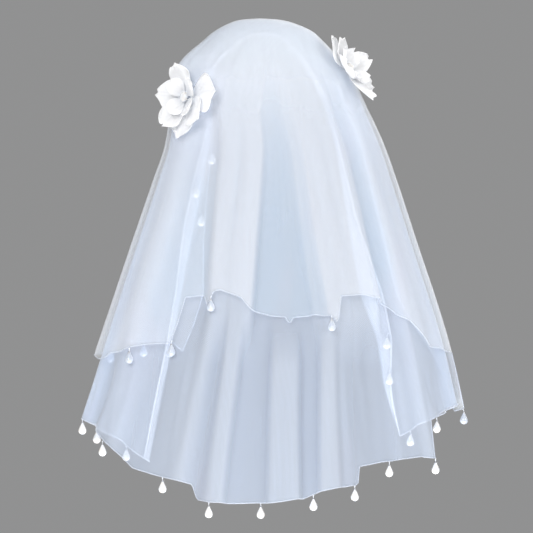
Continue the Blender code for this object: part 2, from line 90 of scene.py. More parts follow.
SECTIONS = (
    Section(0, -2, -2, 0, 0),
    Section(2.3, -28, 25, 28, 25),
    Section(7, -41, 41, 45, 41),
    Section(16, -57, 60, 64, 56),
    Section(26, -69, 71, 76, 66),
    Section(49, -95, 92, 92, 78),
    Section(63, -103, 102, 97, 82),
    Section(105, -107, 123, 106, 88),
    Section(146, -113, 142, 115, 93),
    Section(188, -127, 157, 124, 100),
    Section(258, -151, 180, 138, 112),
    Section(380, -191, 219, 162, 130),
    Section(455, -214, 237, 175, 142),
    Section(560, -246, 266, 190, 154),
)


class Fold(NamedTuple):
    """A fold line: its azimuths at four drops, where it starts, and how far inside the form it lies."""

    name: str
    gather: float
    throat: float
    middle: float
    hem: float
    start: float
    inset: float
    lower_inset: float


FOLDS = (
    Fold("front left", -180, -180, -180, -180, 150, 0, 0),
    Fold("left temple", -146, -146, -146, -146, 150, 0, 1),
    Fold("left cheek swell", -137, -137, -137, -137, 150, 0, 2),
    Fold("left cheek hollow", -127, -127, -127, -127, 150, 7, 11),
    Fold("left ear swell", -116, -116, -116, -116, 150, 0, 1),
    Fold("left ear hollow", -104, -104, -104, -104, 150, 6, 10),
    Fold("left side", -90, -90, -90, -90, 150, 0, 0),
    Fold("left hollow", -72, -74, -74, -75, 130, 4, 9),
    Fold("left swell", -56, -60, -60, -60, 110, 0, 2),
    Fold("left trough", -40, -46, -46, -48, 90, 8, 13),
    Fold("left trough edge", -24, -34.5, -27.5, -33, 70, 10, 8),
    Fold("left band outer edge", -20, -29.5, -22.8, -27, 70, 0, 2),
    Fold("left band", -12, -20, -18, -21.5, 70, 1.5, 13),
    Fold("left rib outer edge", -7, -15, -15.7, -16.6, 70, 0.5, 0),
    Fold("left rib inner edge", -1, -11, -12.1, -14, 70, 0.5, 0),
    Fold("left band inner edge", 4, -7, -9, -11.5, 52, 0, 18),
    Fold("valley left", 5.5, -3.7, -6.4, -7, 52, 17, 20),
    Fold("valley floor", 6.3, -1.5, -3, -2.8, 52, 19, 20),
    Fold("middle rib left", 7, 0.8, 0, 0.2, 52, 19, 4),
    Fold("middle rib right", 7.8, 3, 7, 7.2, 52, 19, 4),
    Fold("valley right", 8.6, 5.2, 12.3, 9.6, 52, 17, 20),
    Fold("step left", 9.8, 8.2, 15.2, 12, 52, 9, 18),
    Fold("step right", 11.5, 11.5, 17.6, 14, 56, 9, 1),
    Fold("broad band left", 13.5, 14.5, 20, 18.3, 60, 0, 1),
    Fold("broad band", 18, 20, 24.5, 21.2, 70, 1, 10),
    Fold("broad band middle", 26, 27, 30.5, 27, 70, 0.5, 14),
    Fold("broad band far", 34, 34, 36.5, 32.5, 70, 0.5, 19),
    Fold("broad band right", 40, 39, 40.5, 37.5, 60, 0, 17),
    Fold("strip left", 44, 43, 44.2, 41.5, 60, 13, 9),
    Fold("strip right", 52, 51, 50.5, 50, 60, 13, 9),
    Fold("outer band left", 57, 56, 55, 54.5, 70, 1, 1),
    Fold("outer band", 73, 73, 72, 72, 110, 2, 7),
    Fold("right side", 90, 90, 90, 90, 150, 0, 0),
    Fold("right ear hollow", 103, 103, 103, 103, 150, 6, 10),
    Fold("right ear swell", 114, 114, 114, 114, 150, 0, 1),
    Fold("right cheek hollow", 125, 125, 125, 125, 150, 7, 11),
    Fold("right cheek swell", 136, 136, 136, 136, 150, 0, 2),
    Fold("right temple", 146, 146, 146, 146, 150, 0, 1),
    Fold("front right", 180, 180, 180, 180, 150, 0, 0),
)
EVEN_DROP = 16             # above this drop the lines are evenly spread
GATHER_DROP = 52           # drops of the four azimuths that each fold gives
THROAT_DROP = 110
MIDDLE_DROP = 330
HEM_DROP = 560
UPPER_FOLDS_END = 336      # between these drops the long tier's folds change to the lower ones
LOWER_FOLDS_START = 396
FOLD_GROWTH = 0.75         # power by which a fold deepens below its start
DEEPEST_FOLD = 20.0
SHADE_POWER = 0.75         # by which a shallow fold is shaded more than its share of the depth
CREASE_SHADE = 0.8         # how far a crease is shaded, as a share of what a fold of its depth gets


class Crease(NamedTuple):
    """A soft crease: azimuth and drop of both ends, half width, and depth, which is below 0 on a ridge."""

    top: float
    start: float
    bottom: float
    end: float
    width: float
    depth: float


SHARED_CREASES = (         # creases that run through both tiers, because they lie together there
    Crease(-152, 16, -140, 66, 7, 0.5),
    Crease(-118, 12, -104, 80, 8, 0.7),
    Crease(-92, 18, -84, 104, 9, 0.8),
    Crease(-66, 10, -62, 86, 7, 0.9),
    Crease(-41, 20, -44, 118, 8, -0.9),
    Crease(-20, 14, -22, 70, 5, 0.7),
    Crease(-9, 34, -15, 126, 5, 0.8),
    Crease(2, 40, -4, 84, 3, 1.4),
    Crease(7, 36, 2, 70, 3, 1.6),
    Crease(21, 22, 24, 112, 7, 0.9),
    Crease(37, 12, 36, 74, 6, -0.7),
    Crease(58, 20, 58, 120, 8, 0.9),
    Crease(84, 12, 80, 92, 9, 0.8),
    Crease(108, 16, 98, 60, 8, 0.6),
    Crease(147, 15, 138, 50, 7, 0.5),
    Crease(-66, 150, -68, 372, 9, 1.6),
    Crease(-83, 120, -84, 404, 8, 1.8),
    Crease(-54, 176, -53, 352, 6, -1.3),
    Crease(-36, 130, -37, 330, 5, 1.4),
    Crease(-18.5, 96, -19, 300, 5, 1.5),
    Crease(-13.5, 150, -13, 330, 3.5, -0.9),
    Crease(-4.5, 120, -6, 336, 4, 1.5),
    Crease(4, 170, 6, 350, 5, -1.8),
    Crease(17.5, 120, 21, 262, 4, 1.2),
    Crease(27, 84, 31, 340, 6, 1.7),
    Crease(33, 160, 35.5, 300, 4, -1.0),
    Crease(47.5, 100, 47.5, 360, 5, 1.5),
    Crease(62, 116, 64, 392, 7, 1.8),
    Crease(79, 180, 79, 420, 8, 1.9),
    Crease(96, 170, 95, 430, 7, 1.5),
    Crease(109, 190, 108, 440, 7, 1.7),
    Crease(119.5, 210, 119, 400, 6, -1.2),
    Crease(-98, 170, -97, 390, 7, 1.5),
    Crease(-111, 190, -110, 400, 7, 1.7),
    Crease(-121, 160, -121, 380, 6, -1.3),
    Crease(-132, 200, -132, 420, 6, 1.4),
)
LOWER_CREASES = (          # creases of the long tier below the short one
    Crease(-70, 392, -69, 470, 9, 2.4),
    Crease(-53, 380, -54, 500, 7, -2.0),
    Crease(-41, 396, -41, 520, 6, 2.2),
    Crease(-30, 372, -30.5, 530, 5, -1.8),
    Crease(-24.5, 400, -24.5, 540, 4, 1.6),
    Crease(-9, 388, -9, 556, 4, 1.8),
    Crease(-4.5, 372, -5, 560, 3.5, -1.2),
    Crease(3.5, 396, 3.5, 556, 4, 1.5),
    Crease(16, 400, 16, 548, 3, 1.2),
    Crease(24, 380, 24, 536, 4, -1.5),
    Crease(30, 404, 29.5, 516, 5, 2.2),
    Crease(45, 392, 45, 506, 5, 1.8),
    Crease(60, 404, 61, 462, 6, 2.0),
    Crease(84, 420, 84, 452, 7, 1.8),
    Crease(101, 400, 101, 456, 7, 2.0),
    Crease(118, 408, 118, 470, 7, 2.2),
    Crease(131, 420, 131, 482, 6, -1.6),
    Crease(-86, 410, -86, 466, 7, 2.0),
    Crease(-108, 404, -108, 476, 8, 2.2),
    Crease(-120, 420, -120, 490, 6, -1.6),
    Crease(-134, 430, -134, 508, 6, 2.0),
)
CREASE_RISE = 0.3          # share of a crease's length over which it sinks in from its upper end
CREASE_FADE = 0.4          # and over which it fades out at its lower end


class Lay(NamedTuple):
    """How far the long tier lies under the short one at a drop."""

    drop: float
    under: float


LAYS = (
    Lay(0, WALL + SEAM),
    Lay(56, WALL + SEAM + 0.1),
    Lay(112, 4.5),
    Lay(200, 6.5),
    Lay(330, 7.5),
    Lay(460, 7.5),
)


class Edge(NamedTuple):
    """The azimuths of the two front edges at a drop, and the width that is turned back inside each."""

    drop: float
    left: float
    right: float
    left_turn: float
    right_turn: float


ARCH_TOP = 12              # drop of the front edge over the forehead
LONG_EDGES = (
    Edge(ARCH_TOP, 180, 180, 0, 0),
    Edge(18, 165, 165, 0, 0),
    Edge(27, 157, 157, 0, 0),
    Edge(39, 151, 151, 0, 0),
    Edge(54, 147, 147, 0, 0),
    Edge(98, 143, 143, 0, 0),
    Edge(128, 142, 144, 9, 5),
    Edge(160, 142, 145, 17, 8),
    Edge(232, 143, 146, 20, 16),
    Edge(320, 143, 146.5, 11, 36),
    Edge(370, 143, 142.5, 10, 25),
    Edge(424, 143, 142, 11, 12),
    Edge(487, 143, 138.5, 11, 0),
    Edge(517, 143, 138.5, 11, 0),
)
SHORT_EDGES = (
    Edge(ARCH_TOP, 180, 180, 0, 0),
    Edge(18, 165, 165, 0, 0),
    Edge(27, 157, 157, 0, 0),
    Edge(39, 151, 151, 0, 0),
    Edge(54, 147, 145, 0, 0),
    Edge(74, 145, 136, 0, 0),
    Edge(98, 144, 128, 0, 0),
    Edge(173, 146, 128.5, 0, 0),
    Edge(258, 150, 128, 0, 0),
    Edge(320, 153.5, 128, 0, 0),
    Edge(357, 151.5, 122, 0, 0),
    Edge(386, 149, 117, 0, 0),
    Edge(413, 149, 112.5, 0, 0),
    Edge(455, 149, 104, 0, 0),
)


class Hem(NamedTuple):
    """How far a hem falls at an azimuth."""

    azimuth: float
    drop: float


LONG_HEM = (
    Hem(-180, 515), Hem(-143, 515), Hem(-128, 488), Hem(-110, 470), Hem(-90, 463),
    Hem(-73, 467), Hem(-56, 493), Hem(-45, 517), Hem(-32, 529), Hem(-22.8, 537),
    Hem(-21, 554), Hem(-16.6, 559), Hem(-3, 561), Hem(8.6, 554), Hem(12.7, 547),
    Hem(19.8, 541), Hem(25.6, 537), Hem(26.8, 516), Hem(35, 510), Hem(50, 505),
    Hem(55.2, 509), Hem(56.4, 465), Hem(62, 459), Hem(74, 450), Hem(90, 447),
    Hem(110, 455), Hem(128, 470), Hem(140, 487), Hem(180, 487),
)
SHORT_HEM = (
    Hem(-180, 388), Hem(-149, 388), Hem(-144, 376), Hem(-120, 374), Hem(-100, 388),
    Hem(-80, 395), Hem(-60, 386), Hem(-55.7, 382), Hem(-50, 377), Hem(-38.6, 375),
    Hem(-37.2, 371), Hem(-35.6, 322), Hem(-27, 320), Hem(-24.5, 333), Hem(-22.3, 317),
    Hem(-20, 315), Hem(-12, 324), Hem(-8.4, 337), Hem(-1.4, 342), Hem(4, 343),
    Hem(5.5, 352), Hem(7, 344), Hem(14.3, 342), Hem(20, 345), Hem(22, 354),
    Hem(24.5, 322), Hem(33, 321), Hem(41, 325), Hem(47.5, 333), Hem(53, 347),
    Hem(58, 363), Hem(62.4, 380), Hem(78, 386), Hem(90, 390), Hem(91.5, 425),
    Hem(94, 453), Hem(103, 455), Hem(180, 455),
)


class TurnLine(NamedTuple):
    """A line of a turned-back strip: its share of the width, and how far inside the cloth it lies."""

    share: float
    inside: float


TURN_LINES = (
    TurnLine(0.04, 1.5),
    TurnLine(0.12, 2.6),
    TurnLine(0.24, 3.8),
    TurnLine(0.38, 4.7),
    TurnLine(0.54, 5.0),
    TurnLine(0.70, 5.0),
    TurnLine(0.86, 4.8),
    TurnLine(1.0, 4.6),
)
FULL_TURN = 8              # a strip narrower than this lies closer to the cloth
HALVINGS = 30              # of the span in which a line's end is sought
LOWEST_HEM = 600           # a drop below every hem
SLOPE_STEP = 1.0           # how far up and down the form's slope is read
DOUBLED_FADE = 2.4         # how far outside a turned strip's middle line it no longer counts as doubled


def smooth_curve(knots: Array, values: Array, x: Array) -> Array:
    """Reads a curve through (knot, value) pairs that never swings past its neighbours.

    Args:
        knots: rising places of the pairs.
        values: the value at each knot.
        x: where the curve is read.

    Returns:
        The curve's values, in the shape of x.
    """
    slopes = np.diff(values) / np.diff(knots)
    before, after = slopes[:-1], slopes[1:]
    level = before * after <= 0
    inner = 2 * before * after / np.where(level, 1, before + after)
    tangents = np.concatenate([slopes[:1], np.where(level, 0, inner), slopes[-1:]])
    k = np.clip(np.searchsorted(knots, x, side="right") - 1, 0, len(knots) - 2)
    h = knots[k + 1] - knots[k]
    t = np.clip((x - knots[k]) / h, 0, 1)
    rise = values[k + 1] - values[k]
    return (values[k] + h * tangents[k] * t * (1 - t) ** 2 - h * tangents[k + 1] * t * t * (1 - t)
            + rise * t * t * (3 - 2 * t))


def eased(t: Array) -> Array:
    """A share from 0 to 1 that starts and ends gently."""
    t = np.clip(t, 0, 1)
    return t * t * (3 - 2 * t)


def unit(vectors: Array) -> Array:
    """The same directions with a length of 1."""
    return vectors / np.maximum(np.linalg.norm(vectors, axis=-1, keepdims=True), 1e-9)


class Fade(NamedTuple):
    """A share that grows from 0 at its start to 1 further on."""

    start: float
    over: float

    def share(self, value: Array) -> Array:
        """The share at some values."""
        return eased((value - self.start) / self.over)


SIDE = 90                  # azimuth of the veil's two sides
SPREAD_ACROSS = Fade(93, 20)    # azimuths over which the net comes to be drawn out flat past the sides
SPREAD_DOWN = Fade(90, 120)     # and drops over which it does
BUNCH_DOWN = Fade(50, 80)       # drops over which the net comes to be bunched along the sides
BUNCH_REACH = 14           # how far round from the sides it is bunched


@dataclass(frozen=True)
class OuterForm:
    """The smooth form that the veil fills out over the head and shoulders, without its folds."""

    sections: tuple[Section, ...] = SECTIONS
    crown: float = CROWN

    def place(self, azimuth: Array, drop: Array) -> Array:
        """Points of the form.

        Args:
            azimuth: degrees round the head.
            drop: distances below the crown.

        Returns:
            The points, in millimetres, in a last axis of three.
        """
        columns = np.array(self.sections, float).T
        root = np.sqrt(np.maximum(drop, 0))
        left, right, back, front = (smooth_curve(np.sqrt(columns[0]), c, root) for c in columns[1:])
        turn = np.radians(azimuth)
        depth = np.where(np.cos(turn) > 0, back, front)
        across = (left + right) / 2 + (right - left) / 2 * np.sin(turn)
        return np.stack([across, -depth * np.cos(turn), self.crown - drop + 0 * turn], axis=-1)

    def one_degree(self, azimuth: Array, drop: Array) -> Array:
        """The steps over one degree round the form."""
        return self.place(azimuth + 0.5, drop) - self.place(azimuth - 0.5, drop)

    def outward(self, azimuth: Array, drop: Array) -> Array:
        """The directions that face out of the form, below its very top.

        Args:
            azimuth: degrees round the head.
            drop: distances below the crown.

        Returns:
            The unit normals, in a last axis of three.
        """
        step = np.minimum(SLOPE_STEP, drop / 2)
        down = self.place(azimuth, drop + step) - self.place(azimuth, drop - step)
        return unit(np.cross(down, self.one_degree(azimuth, drop)))


@dataclass(frozen=True)
class FoldField:
    """How far the cloth lies inside the outer form, through its folds and its soft creases."""

    form: OuterForm
    creases: tuple[Crease, ...]
    lower: bool
    folds: tuple[Fold, ...] = FOLDS

    def fold_azimuths(self, drop: Array) -> Array:
        """The azimuths of the fold lines.

        Args:
            drop: distances below the crown.

        Returns:
            An azimuth for each fold line at each drop, in a last axis.
        """
        drops = (GATHER_DROP, THROAT_DROP, MIDDLE_DROP, HEM_DROP)
        azimuths = [(fold.gather, fold.throat, fold.middle, fold.hem) for fold in self.folds]
        return np.stack([np.interp(drop, drops, row) for row in azimuths], axis=-1)

    def fold_insets(self, drop: Array) -> Array:
        """How far the fold lines lie inside the outer form.

        Args:
            drop: distances below the crown.

        Returns:
            A depth for each fold line at each drop, in a last axis.
        """
        start = np.array([fold.start for fold in self.folds])
        upper = np.array([fold.inset for fold in self.folds])
        lower = np.array([fold.lower_inset for fold in self.folds])
        drop = drop[..., None]
        grown = np.clip((drop - start) / (MIDDLE_DROP - start), 0, 1) ** FOLD_GROWTH
        change = np.clip((drop - UPPER_FOLDS_END) / (LOWER_FOLDS_START - UPPER_FOLDS_END), 0, 1)
        return upper * grown * (1 - change) + lower * change

    def folded(self, azimuth: Array, drop: Array) -> Array:
        """The depth of the folds alone, eased from line to line.

        Args:
            azimuth: degrees round the head.
            drop: distances below the crown.

        Returns:
            How far inside the outer form the cloth lies.
        """
        drop = drop if self.lower else np.minimum(drop, UPPER_FOLDS_END)
        azimuths, insets = self.fold_azimuths(drop), self.fold_insets(drop)
        k = np.clip(np.sum(azimuths <= azimuth[..., None], axis=-1) - 1, 0, len(self.folds) - 2)[..., None]
        first, second = (np.take_along_axis(azimuths, k + i, -1)[..., 0] for i in (0, 1))
        high, low = (np.take_along_axis(insets, k + i, -1)[..., 0] for i in (0, 1))
        share = eased((azimuth - first) / (second - first))
        return high * (1 - share) + low * share

    def creased(self, azimuth: Array, drop: Array) -> Array:
        """The depth of the soft creases alone.

        Args:
            azimuth: degrees round the head.
            drop: distances below the crown.

        Returns:
            How much further inside the cloth lies, less than 0 on a ridge.
        """
        degree = np.linalg.norm(self.form.one_degree(azimuth, drop), axis=-1)
        depth = np.zeros_like(drop)
        for crease in self.creases:
            down = (drop - crease.start) / (crease.end - crease.start)
            line = crease.top + (crease.bottom - crease.top) * eased(down)
            off = (azimuth - line) * degree / crease.width
            fade = eased(down / CREASE_RISE) * eased((1 - down) / CREASE_FADE)
            depth += crease.depth * fade * np.exp(-off * off)
        return depth


class Side(Enum):
    """The side of the veil on which a front edge lies."""

    LEFT = -1
    RIGHT = 1


def deselect_all() -> None:
    """Clears the selection, so that an operator acts on what is selected after it."""
    if bpy.context.mode != "OBJECT":
        bpy.ops.object.mode_set(mode="OBJECT")
    bpy.ops.object.select_all(action="DESELECT")


def activate(piece: bpy.types.Object) -> None:
    """Selects one object alone and makes it active.

    Args:
        piece: the object.
    """
    deselect_all()
    piece.select_set(True)
    bpy.context.view_layer.objects.active = piece


def apply_all(piece: bpy.types.Object) -> None:
    """Applies a piece's modifiers, top to bottom.

    Args:
        piece: the piece.
    """
    activate(piece)
    for modifier in list(piece.modifiers):
        bpy.ops.object.modifier_apply(modifier=modifier.name)


def join(name: str, pieces: list[bpy.types.Object]) -> bpy.types.Object:
    """Joins pieces into one, which keeps their materials.

    Args:
        name: the name of the joined piece.
        pieces: what is joined.

    Returns:
        The joined piece.
    """
    deselect_all()
    for piece in pieces:
        piece.select_set(True)
    bpy.context.view_layer.objects.active = pieces[0]
    bpy.ops.object.join()
    joined = bpy.context.view_layer.objects.active
    joined.name = joined.data.name = name
    return joined


def settle(piece: bpy.types.Object) -> None:
    """Puts a piece's place, turn and scale into its mesh."""
    activate(piece)
    bpy.ops.object.transform_apply(location=True, rotation=True, scale=True)


@contextmanager
def editing() -> Iterator[None]:
    """Opens the active piece in edit mode with all of it selected, and closes it again.

    Returns:
        The context in which its mesh is shaped.
    """
    bpy.ops.object.mode_set(mode="EDIT")
    bpy.ops.mesh.select_all(action="SELECT")
    yield
    bpy.ops.object.mode_set(mode="OBJECT")


def thicken(piece: bpy.types.Object, thickness: float) -> None:
    """Gives a sheet its thickness, half of it on each side.

    Args:
        piece: the sheet.
        thickness: how thick it becomes, in millimetres.
    """
    wall = piece.modifiers.new("Wall", "SOLIDIFY")
    wall.thickness = thickness * MM
    wall.offset = 0.0
    apply_all(piece)


def finish_mesh(name: str, shape: bmesh.types.BMesh, surface: bpy.types.Material) -> bpy.types.Object:
    """Makes a smooth object of a mesh.

    Args:
        name: the piece's name.
        shape: its mesh, which is freed.
        surface: its material.

    Returns:
        The piece.
    """
    mesh = bpy.data.meshes.new(name)
    shape.to_mesh(mesh)
    shape.free()
    mesh.shade_smooth()
    mesh.materials.append(surface)
    piece = bpy.data.objects.new(name, mesh)
    bpy.context.scene.collection.objects.link(piece)
    return piece


def mean_place(places: list[Vector]) -> Vector:
    """The middle of some points."""
    return sum(places, Vector()) / len(places)


CLOTH_MAP = "cloth"        # the map of a sheet, as it lies flat
FOLD_SHADE = "fold"        # 0 on a ridge of the cloth, 1 in its deepest valley
GATHER = "gather"          # 1 where the net is gathered at the crown, 0 where it falls free
DOUBLED = "doubled"        # 1 where the net is turned back on itself along a front edge, 0 elsewhere
SPREAD = "spread"          # 1 where the net is drawn out flat past the sides, 0 on the gathered back
SIDES = "sides"            # 1 where the net bunches at the veil's two sides, 0 elsewhere
CORDED = "corded"          # 1 where a front edge is rolled round a cord, 0 along the hem
REACH = "reach"            # 0 at a petal's root, 1 at its tip


@dataclass
class Graph:
    """A material's nodes, with short calls for those that the finishes share."""

    name: str
    material: bpy.types.Material = field(init=False)

    def __post_init__(self) -> None:
        """Makes the material with its one shader."""
        self.material = bpy.data.materials.new(self.name)
        self.material.use_nodes = True

    @property
    def shader(self) -> bpy.types.Node:
        """The material's Principled shader."""
        return self.material.node_tree.nodes["Principled BSDF"]

    def node(self, kind: str, inputs: dict | None = None, **settings: object) -> bpy.types.Node:
        """Adds a node.

        Args:
            kind: the node's type name, without its prefix.
            inputs: sockets by name or number, each with a value or with the socket that feeds it.
            settings: the node's own settings.

        Returns:
            The node.
        """
        made = self.material.node_tree.nodes.new("ShaderNode" + kind)
        for key, value in settings.items():
            setattr(made, key, value)
        for key, value in (inputs or {}).items():
            self.feed(made.inputs[key], value)
        return made

    def feed(self, socket: Socket, value: object) -> None:
        """Links a socket to another one, or gives it a value.

        Args:
            socket: what is fed.
            value: the socket or the value that feeds it.
        """
        if isinstance(value, bpy.types.NodeSocket):
            self.material.node_tree.links.new(value, socket)
        else:
            socket.default_value = value

    def math(self, operation: str, first: object, second: object = 0.0) -> Socket:
        """The result of a Math node."""
        return self.node("Math", {0: first, 1: second}, operation=operation).outputs[0]

    def mixed(self, share: object, first: object, second: object) -> Socket:
        """Two numbers mixed by a share."""
        return self.node("Mix", {"Factor": share, "A": first, "B": second}).outputs[0]

    def tinted(self, share: object, first: object, second: object) -> Socket:
        """Two colours mixed by a share.

        Args:
            share: how much of the second colour is in the mix.
            first: a colour, or the socket that gives it.
            second: another one.

        Returns:
            The mixed colour.
        """
        first = first if isinstance(first, bpy.types.NodeSocket) else (*first, 1)
        second = second if isinstance(second, bpy.types.NodeSocket) else (*second, 1)
        made = self.node("Mix", {"Factor": share, 6: first, 7: second}, data_type="RGBA")
        return made.outputs[2]

    def ramp(self, value: object, low: float, high: float, start: float = 0.0, end: float = 1.0) -> Socket:
        """A value that goes smoothly from start to end between low and high."""
        inputs = {"Value": value, "From Min": low, "From Max": high, "To Min": start, "To Max": end}
        return self.node("MapRange", inputs, interpolation_type="SMOOTHSTEP").outputs[0]

    def noise(self, vector: Socket, scale: float, detail: float = 2.0, roughness: float = 0.5) -> Socket:
        """A noise from 0 to 1."""
        inputs = {"Vector": vector, "Scale": scale, "Detail": detail, "Roughness": roughness}
        return self.node("TexNoise", inputs).outputs[0]

    def stretched(self, vector: Socket, x: float, y: float, z: float = 1.0) -> Socket:
        """Coordinates scaled apart on each axis."""
        return self.node("Mapping", {"Vector": vector, "Scale": (x, y, z)}).outputs[0]

    def wave(self, value: object, length: float) -> Socket:
        """A sine wave of some length along a value."""
        return self.math("SINE", self.math("MULTIPLY", value, 2 * math.pi / length))

    def attribute(self, name: str) -> Socket:
        """A number stored on the piece's points."""
        return self.node("Attribute", attribute_name=name).outputs["Fac"]

    def cloth_map(self) -> Socket:
        """The piece's own map, in metres along and across the cloth."""
        return self.node("UVMap", uv_map=CLOTH_MAP).outputs[0]

    def object_map(self) -> Socket:
        """The piece's Object coordinates, in metres."""
        return self.node("TexCoord").outputs["Object"]

    def bump(self, height: Socket, depth: float, strength: float) -> None:
        """Raises the surface by a height from 0 to 1, over a depth in metres."""
        made = self.node("Bump", {"Height": height, "Distance": depth, "Strength": strength})
        self.feed(self.shader.inputs["Normal"], made.outputs[0])

    def surface(self, **inputs: object) -> None:
        """Feeds or sets the shader's sockets.

        Args:
            inputs: sockets by name, with _ for a space, each with a value or with what feeds it.
        """
        for key, value in inputs.items():
            socket = self.shader.inputs[key.replace("_", " ")]
            is_color = socket.type == "RGBA" and not isinstance(value, bpy.types.NodeSocket)
            self.feed(socket, (*value, 1) if is_color else value)


THREAD_TURNS = (0, 60, 120)     # turns of the three waves whose sum makes the six-sided holes
THREAD_EDGE = 0.6          # their sum at the edge of a hole
THREAD_MIDDLE = -1.2       # and along the middle of a thread


@dataclass(frozen=True)
class NetFinish:
    """Soft sheer net, closer where it is gathered or bunched in a ridge, with painted light and shade in
    its folds.

    It has a colour for a ridge, a valley, the soft clouds in both, the gathered crown and the strip turned
    back. The ridge colour is painted lighter, the valley colour is painted shade, darker and bluer, and the
    colour follows the fold's depth between them. Its covers, from thin to drawn out, are the shares of
    light that one face of it stops; the net is closer on a ridge and thinner in a valley, which also
    darkens the valleys.
    """

    name: str
    # the ridge and valley colours are painted light and shade in the folds: lighter on a ridge, darker and
    # bluer in a valley
    ridge: Color
    valley: Color
    blush: Color
    crown: Color = (0.775, 0.825, 0.895)
    turned: Color = (0.74, 0.785, 0.86)
    thin: float = 0.26
    close: float = 0.36
    gathered: float = 0.50
    double: float = 0.34
    bunched: float = 0.42
    drawn_out: float = 0.62
    mesh: float = 0.0014
    streak_shade: float = 0.045
    streak_cover: float = 0.04
    thread_cover: float = 0.14
    blush_share: float = 0.45

    def hexagons(self, graph: Graph, place: Socket) -> Socket:
        """The six-sided holes of the net.

        Args:
            graph: the material's nodes.
            place: the cloth's own map, in metres.

        Returns:
            A number from 0 in a hole to 1 on a thread.
        """
        waves = []
        for turn in THREAD_TURNS:
            rotation = (0, 0, math.radians(turn))
            turned = graph.node("Mapping", {"Vector": place, "Rotation": rotation}).outputs[0]
            across = graph.node("SeparateXYZ", {0: turned}).outputs[0]
            waves.append(graph.math("COSINE", graph.math("MULTIPLY", across, 2 * math.pi / self.mesh)))
        total = graph.math("ADD", graph.math("ADD", waves[0], waves[1]), waves[2])
        return graph.ramp(total, THREAD_EDGE, THREAD_MIDDLE)

    def dress(self) -> bpy.types.Material:
        """Makes the net's material.

        Returns:
            The material.
        """
        graph = Graph(self.name)
        place = graph.cloth_map()
        fold, gather = graph.attribute(FOLD_SHADE), graph.attribute(GATHER)
        doubled, spread, sides = (graph.attribute(name) for name in (DOUBLED, SPREAD, SIDES))
        threads = self.hexagons(graph, place)
        streaks = graph.noise(graph.stretched(place, x=60, y=5), scale=1.0, detail=3.0, roughness=0.55)
        clouds = graph.noise(graph.stretched(place, x=11, y=4), scale=1.0)
        shade = graph.ramp(streaks, 0.3, 0.7, start=-self.streak_shade, end=self.streak_shade)
        depth = graph.math("ADD", fold, shade)
        # painted light and shade: the colour goes from the lighter ridge colour to the darker, bluer valley
        # colour with the fold's depth
        body = graph.tinted(graph.ramp(depth, 0.05, 0.85), self.ridge, self.valley)
        body = graph.tinted(graph.ramp(clouds, 0.52, 0.74, end=self.blush_share), body, self.blush)
        body = graph.tinted(gather, body, self.crown)
        body = graph.tinted(doubled, body, self.turned)
        # the net is closer on a ridge and thinner in a valley, which also darkens the valleys against the
        # backdrop
        cover = graph.mixed(graph.ramp(depth, 0.05, 0.9), self.close, self.thin)
        cover = graph.mixed(gather, cover, self.gathered)
        cover = graph.math("MULTIPLY", cover, graph.ramp(spread, 0, 1, start=1, end=1 - self.drawn_out))
        cover = graph.mixed(doubled, cover, self.double)
        cover = graph.mixed(sides, cover, self.bunched)
        swings = ((threads, 0, 1, self.thread_cover), (streaks, 0.25, 0.75, self.streak_cover))
        for pattern, low, high, swing in swings:
            share = graph.ramp(pattern, low, high, start=1 - swing, end=1 + swing)
            cover = graph.math("MULTIPLY", cover, share)
        graph.surface(
            Base_Color=body, Alpha=cover, Roughness=graph.ramp(threads, 0, 1, start=0.72, end=0.55),
            Sheen_Weight=0.9, Sheen_Roughness=0.22, Specular_IOR_Level=0.25,
        )
        graph.bump(graph.math("ADD", threads, streaks), depth=0.0002, strength=0.3)
        return graph.material


@dataclass(frozen=True)
class RolledEdgeFinish:
    """Net rolled on itself and whipped with thread, so that it is close and bright."""

    name: str = "rolled net edge"
    cloth: Color = (0.66, 0.72, 0.83)
    thread: Color = (0.74, 0.785, 0.87)
    cord: Color = (0.82, 0.85, 0.91)
    stitch: float = 0.0026
    slant: float = 0.8
    cover: float = 0.36
    stitched_cover: float = 0.66
    corded_cover: float = 0.68

    def dress(self) -> bpy.types.Material:
        """Makes the rolled edge's material, with its slanted stitches.

        Returns:
            The material.
        """
        graph = Graph(self.name)
        part = graph.node("SeparateXYZ", {0: graph.cloth_map()})
        slanted = graph.math("ADD", part.outputs[1], graph.math("MULTIPLY", part.outputs[0], self.slant))
        stitches = graph.ramp(graph.wave(slanted, self.stitch), 0.1, 0.9)
        corded = graph.attribute(CORDED)
        cover = graph.mixed(stitches, self.cover, self.stitched_cover)
        cover = graph.mixed(corded, cover, self.corded_cover)
        body = graph.tinted(corded, graph.tinted(stitches, self.cloth, self.thread), self.cord)
        graph.surface(
            Base_Color=body, Alpha=cover, Roughness=graph.mixed(stitches, 0.6, 0.42),
            Sheen_Weight=0.4, Specular_IOR_Level=0.3,
        )
        graph.bump(stitches, depth=0.0003, strength=0.6)
        return graph.material


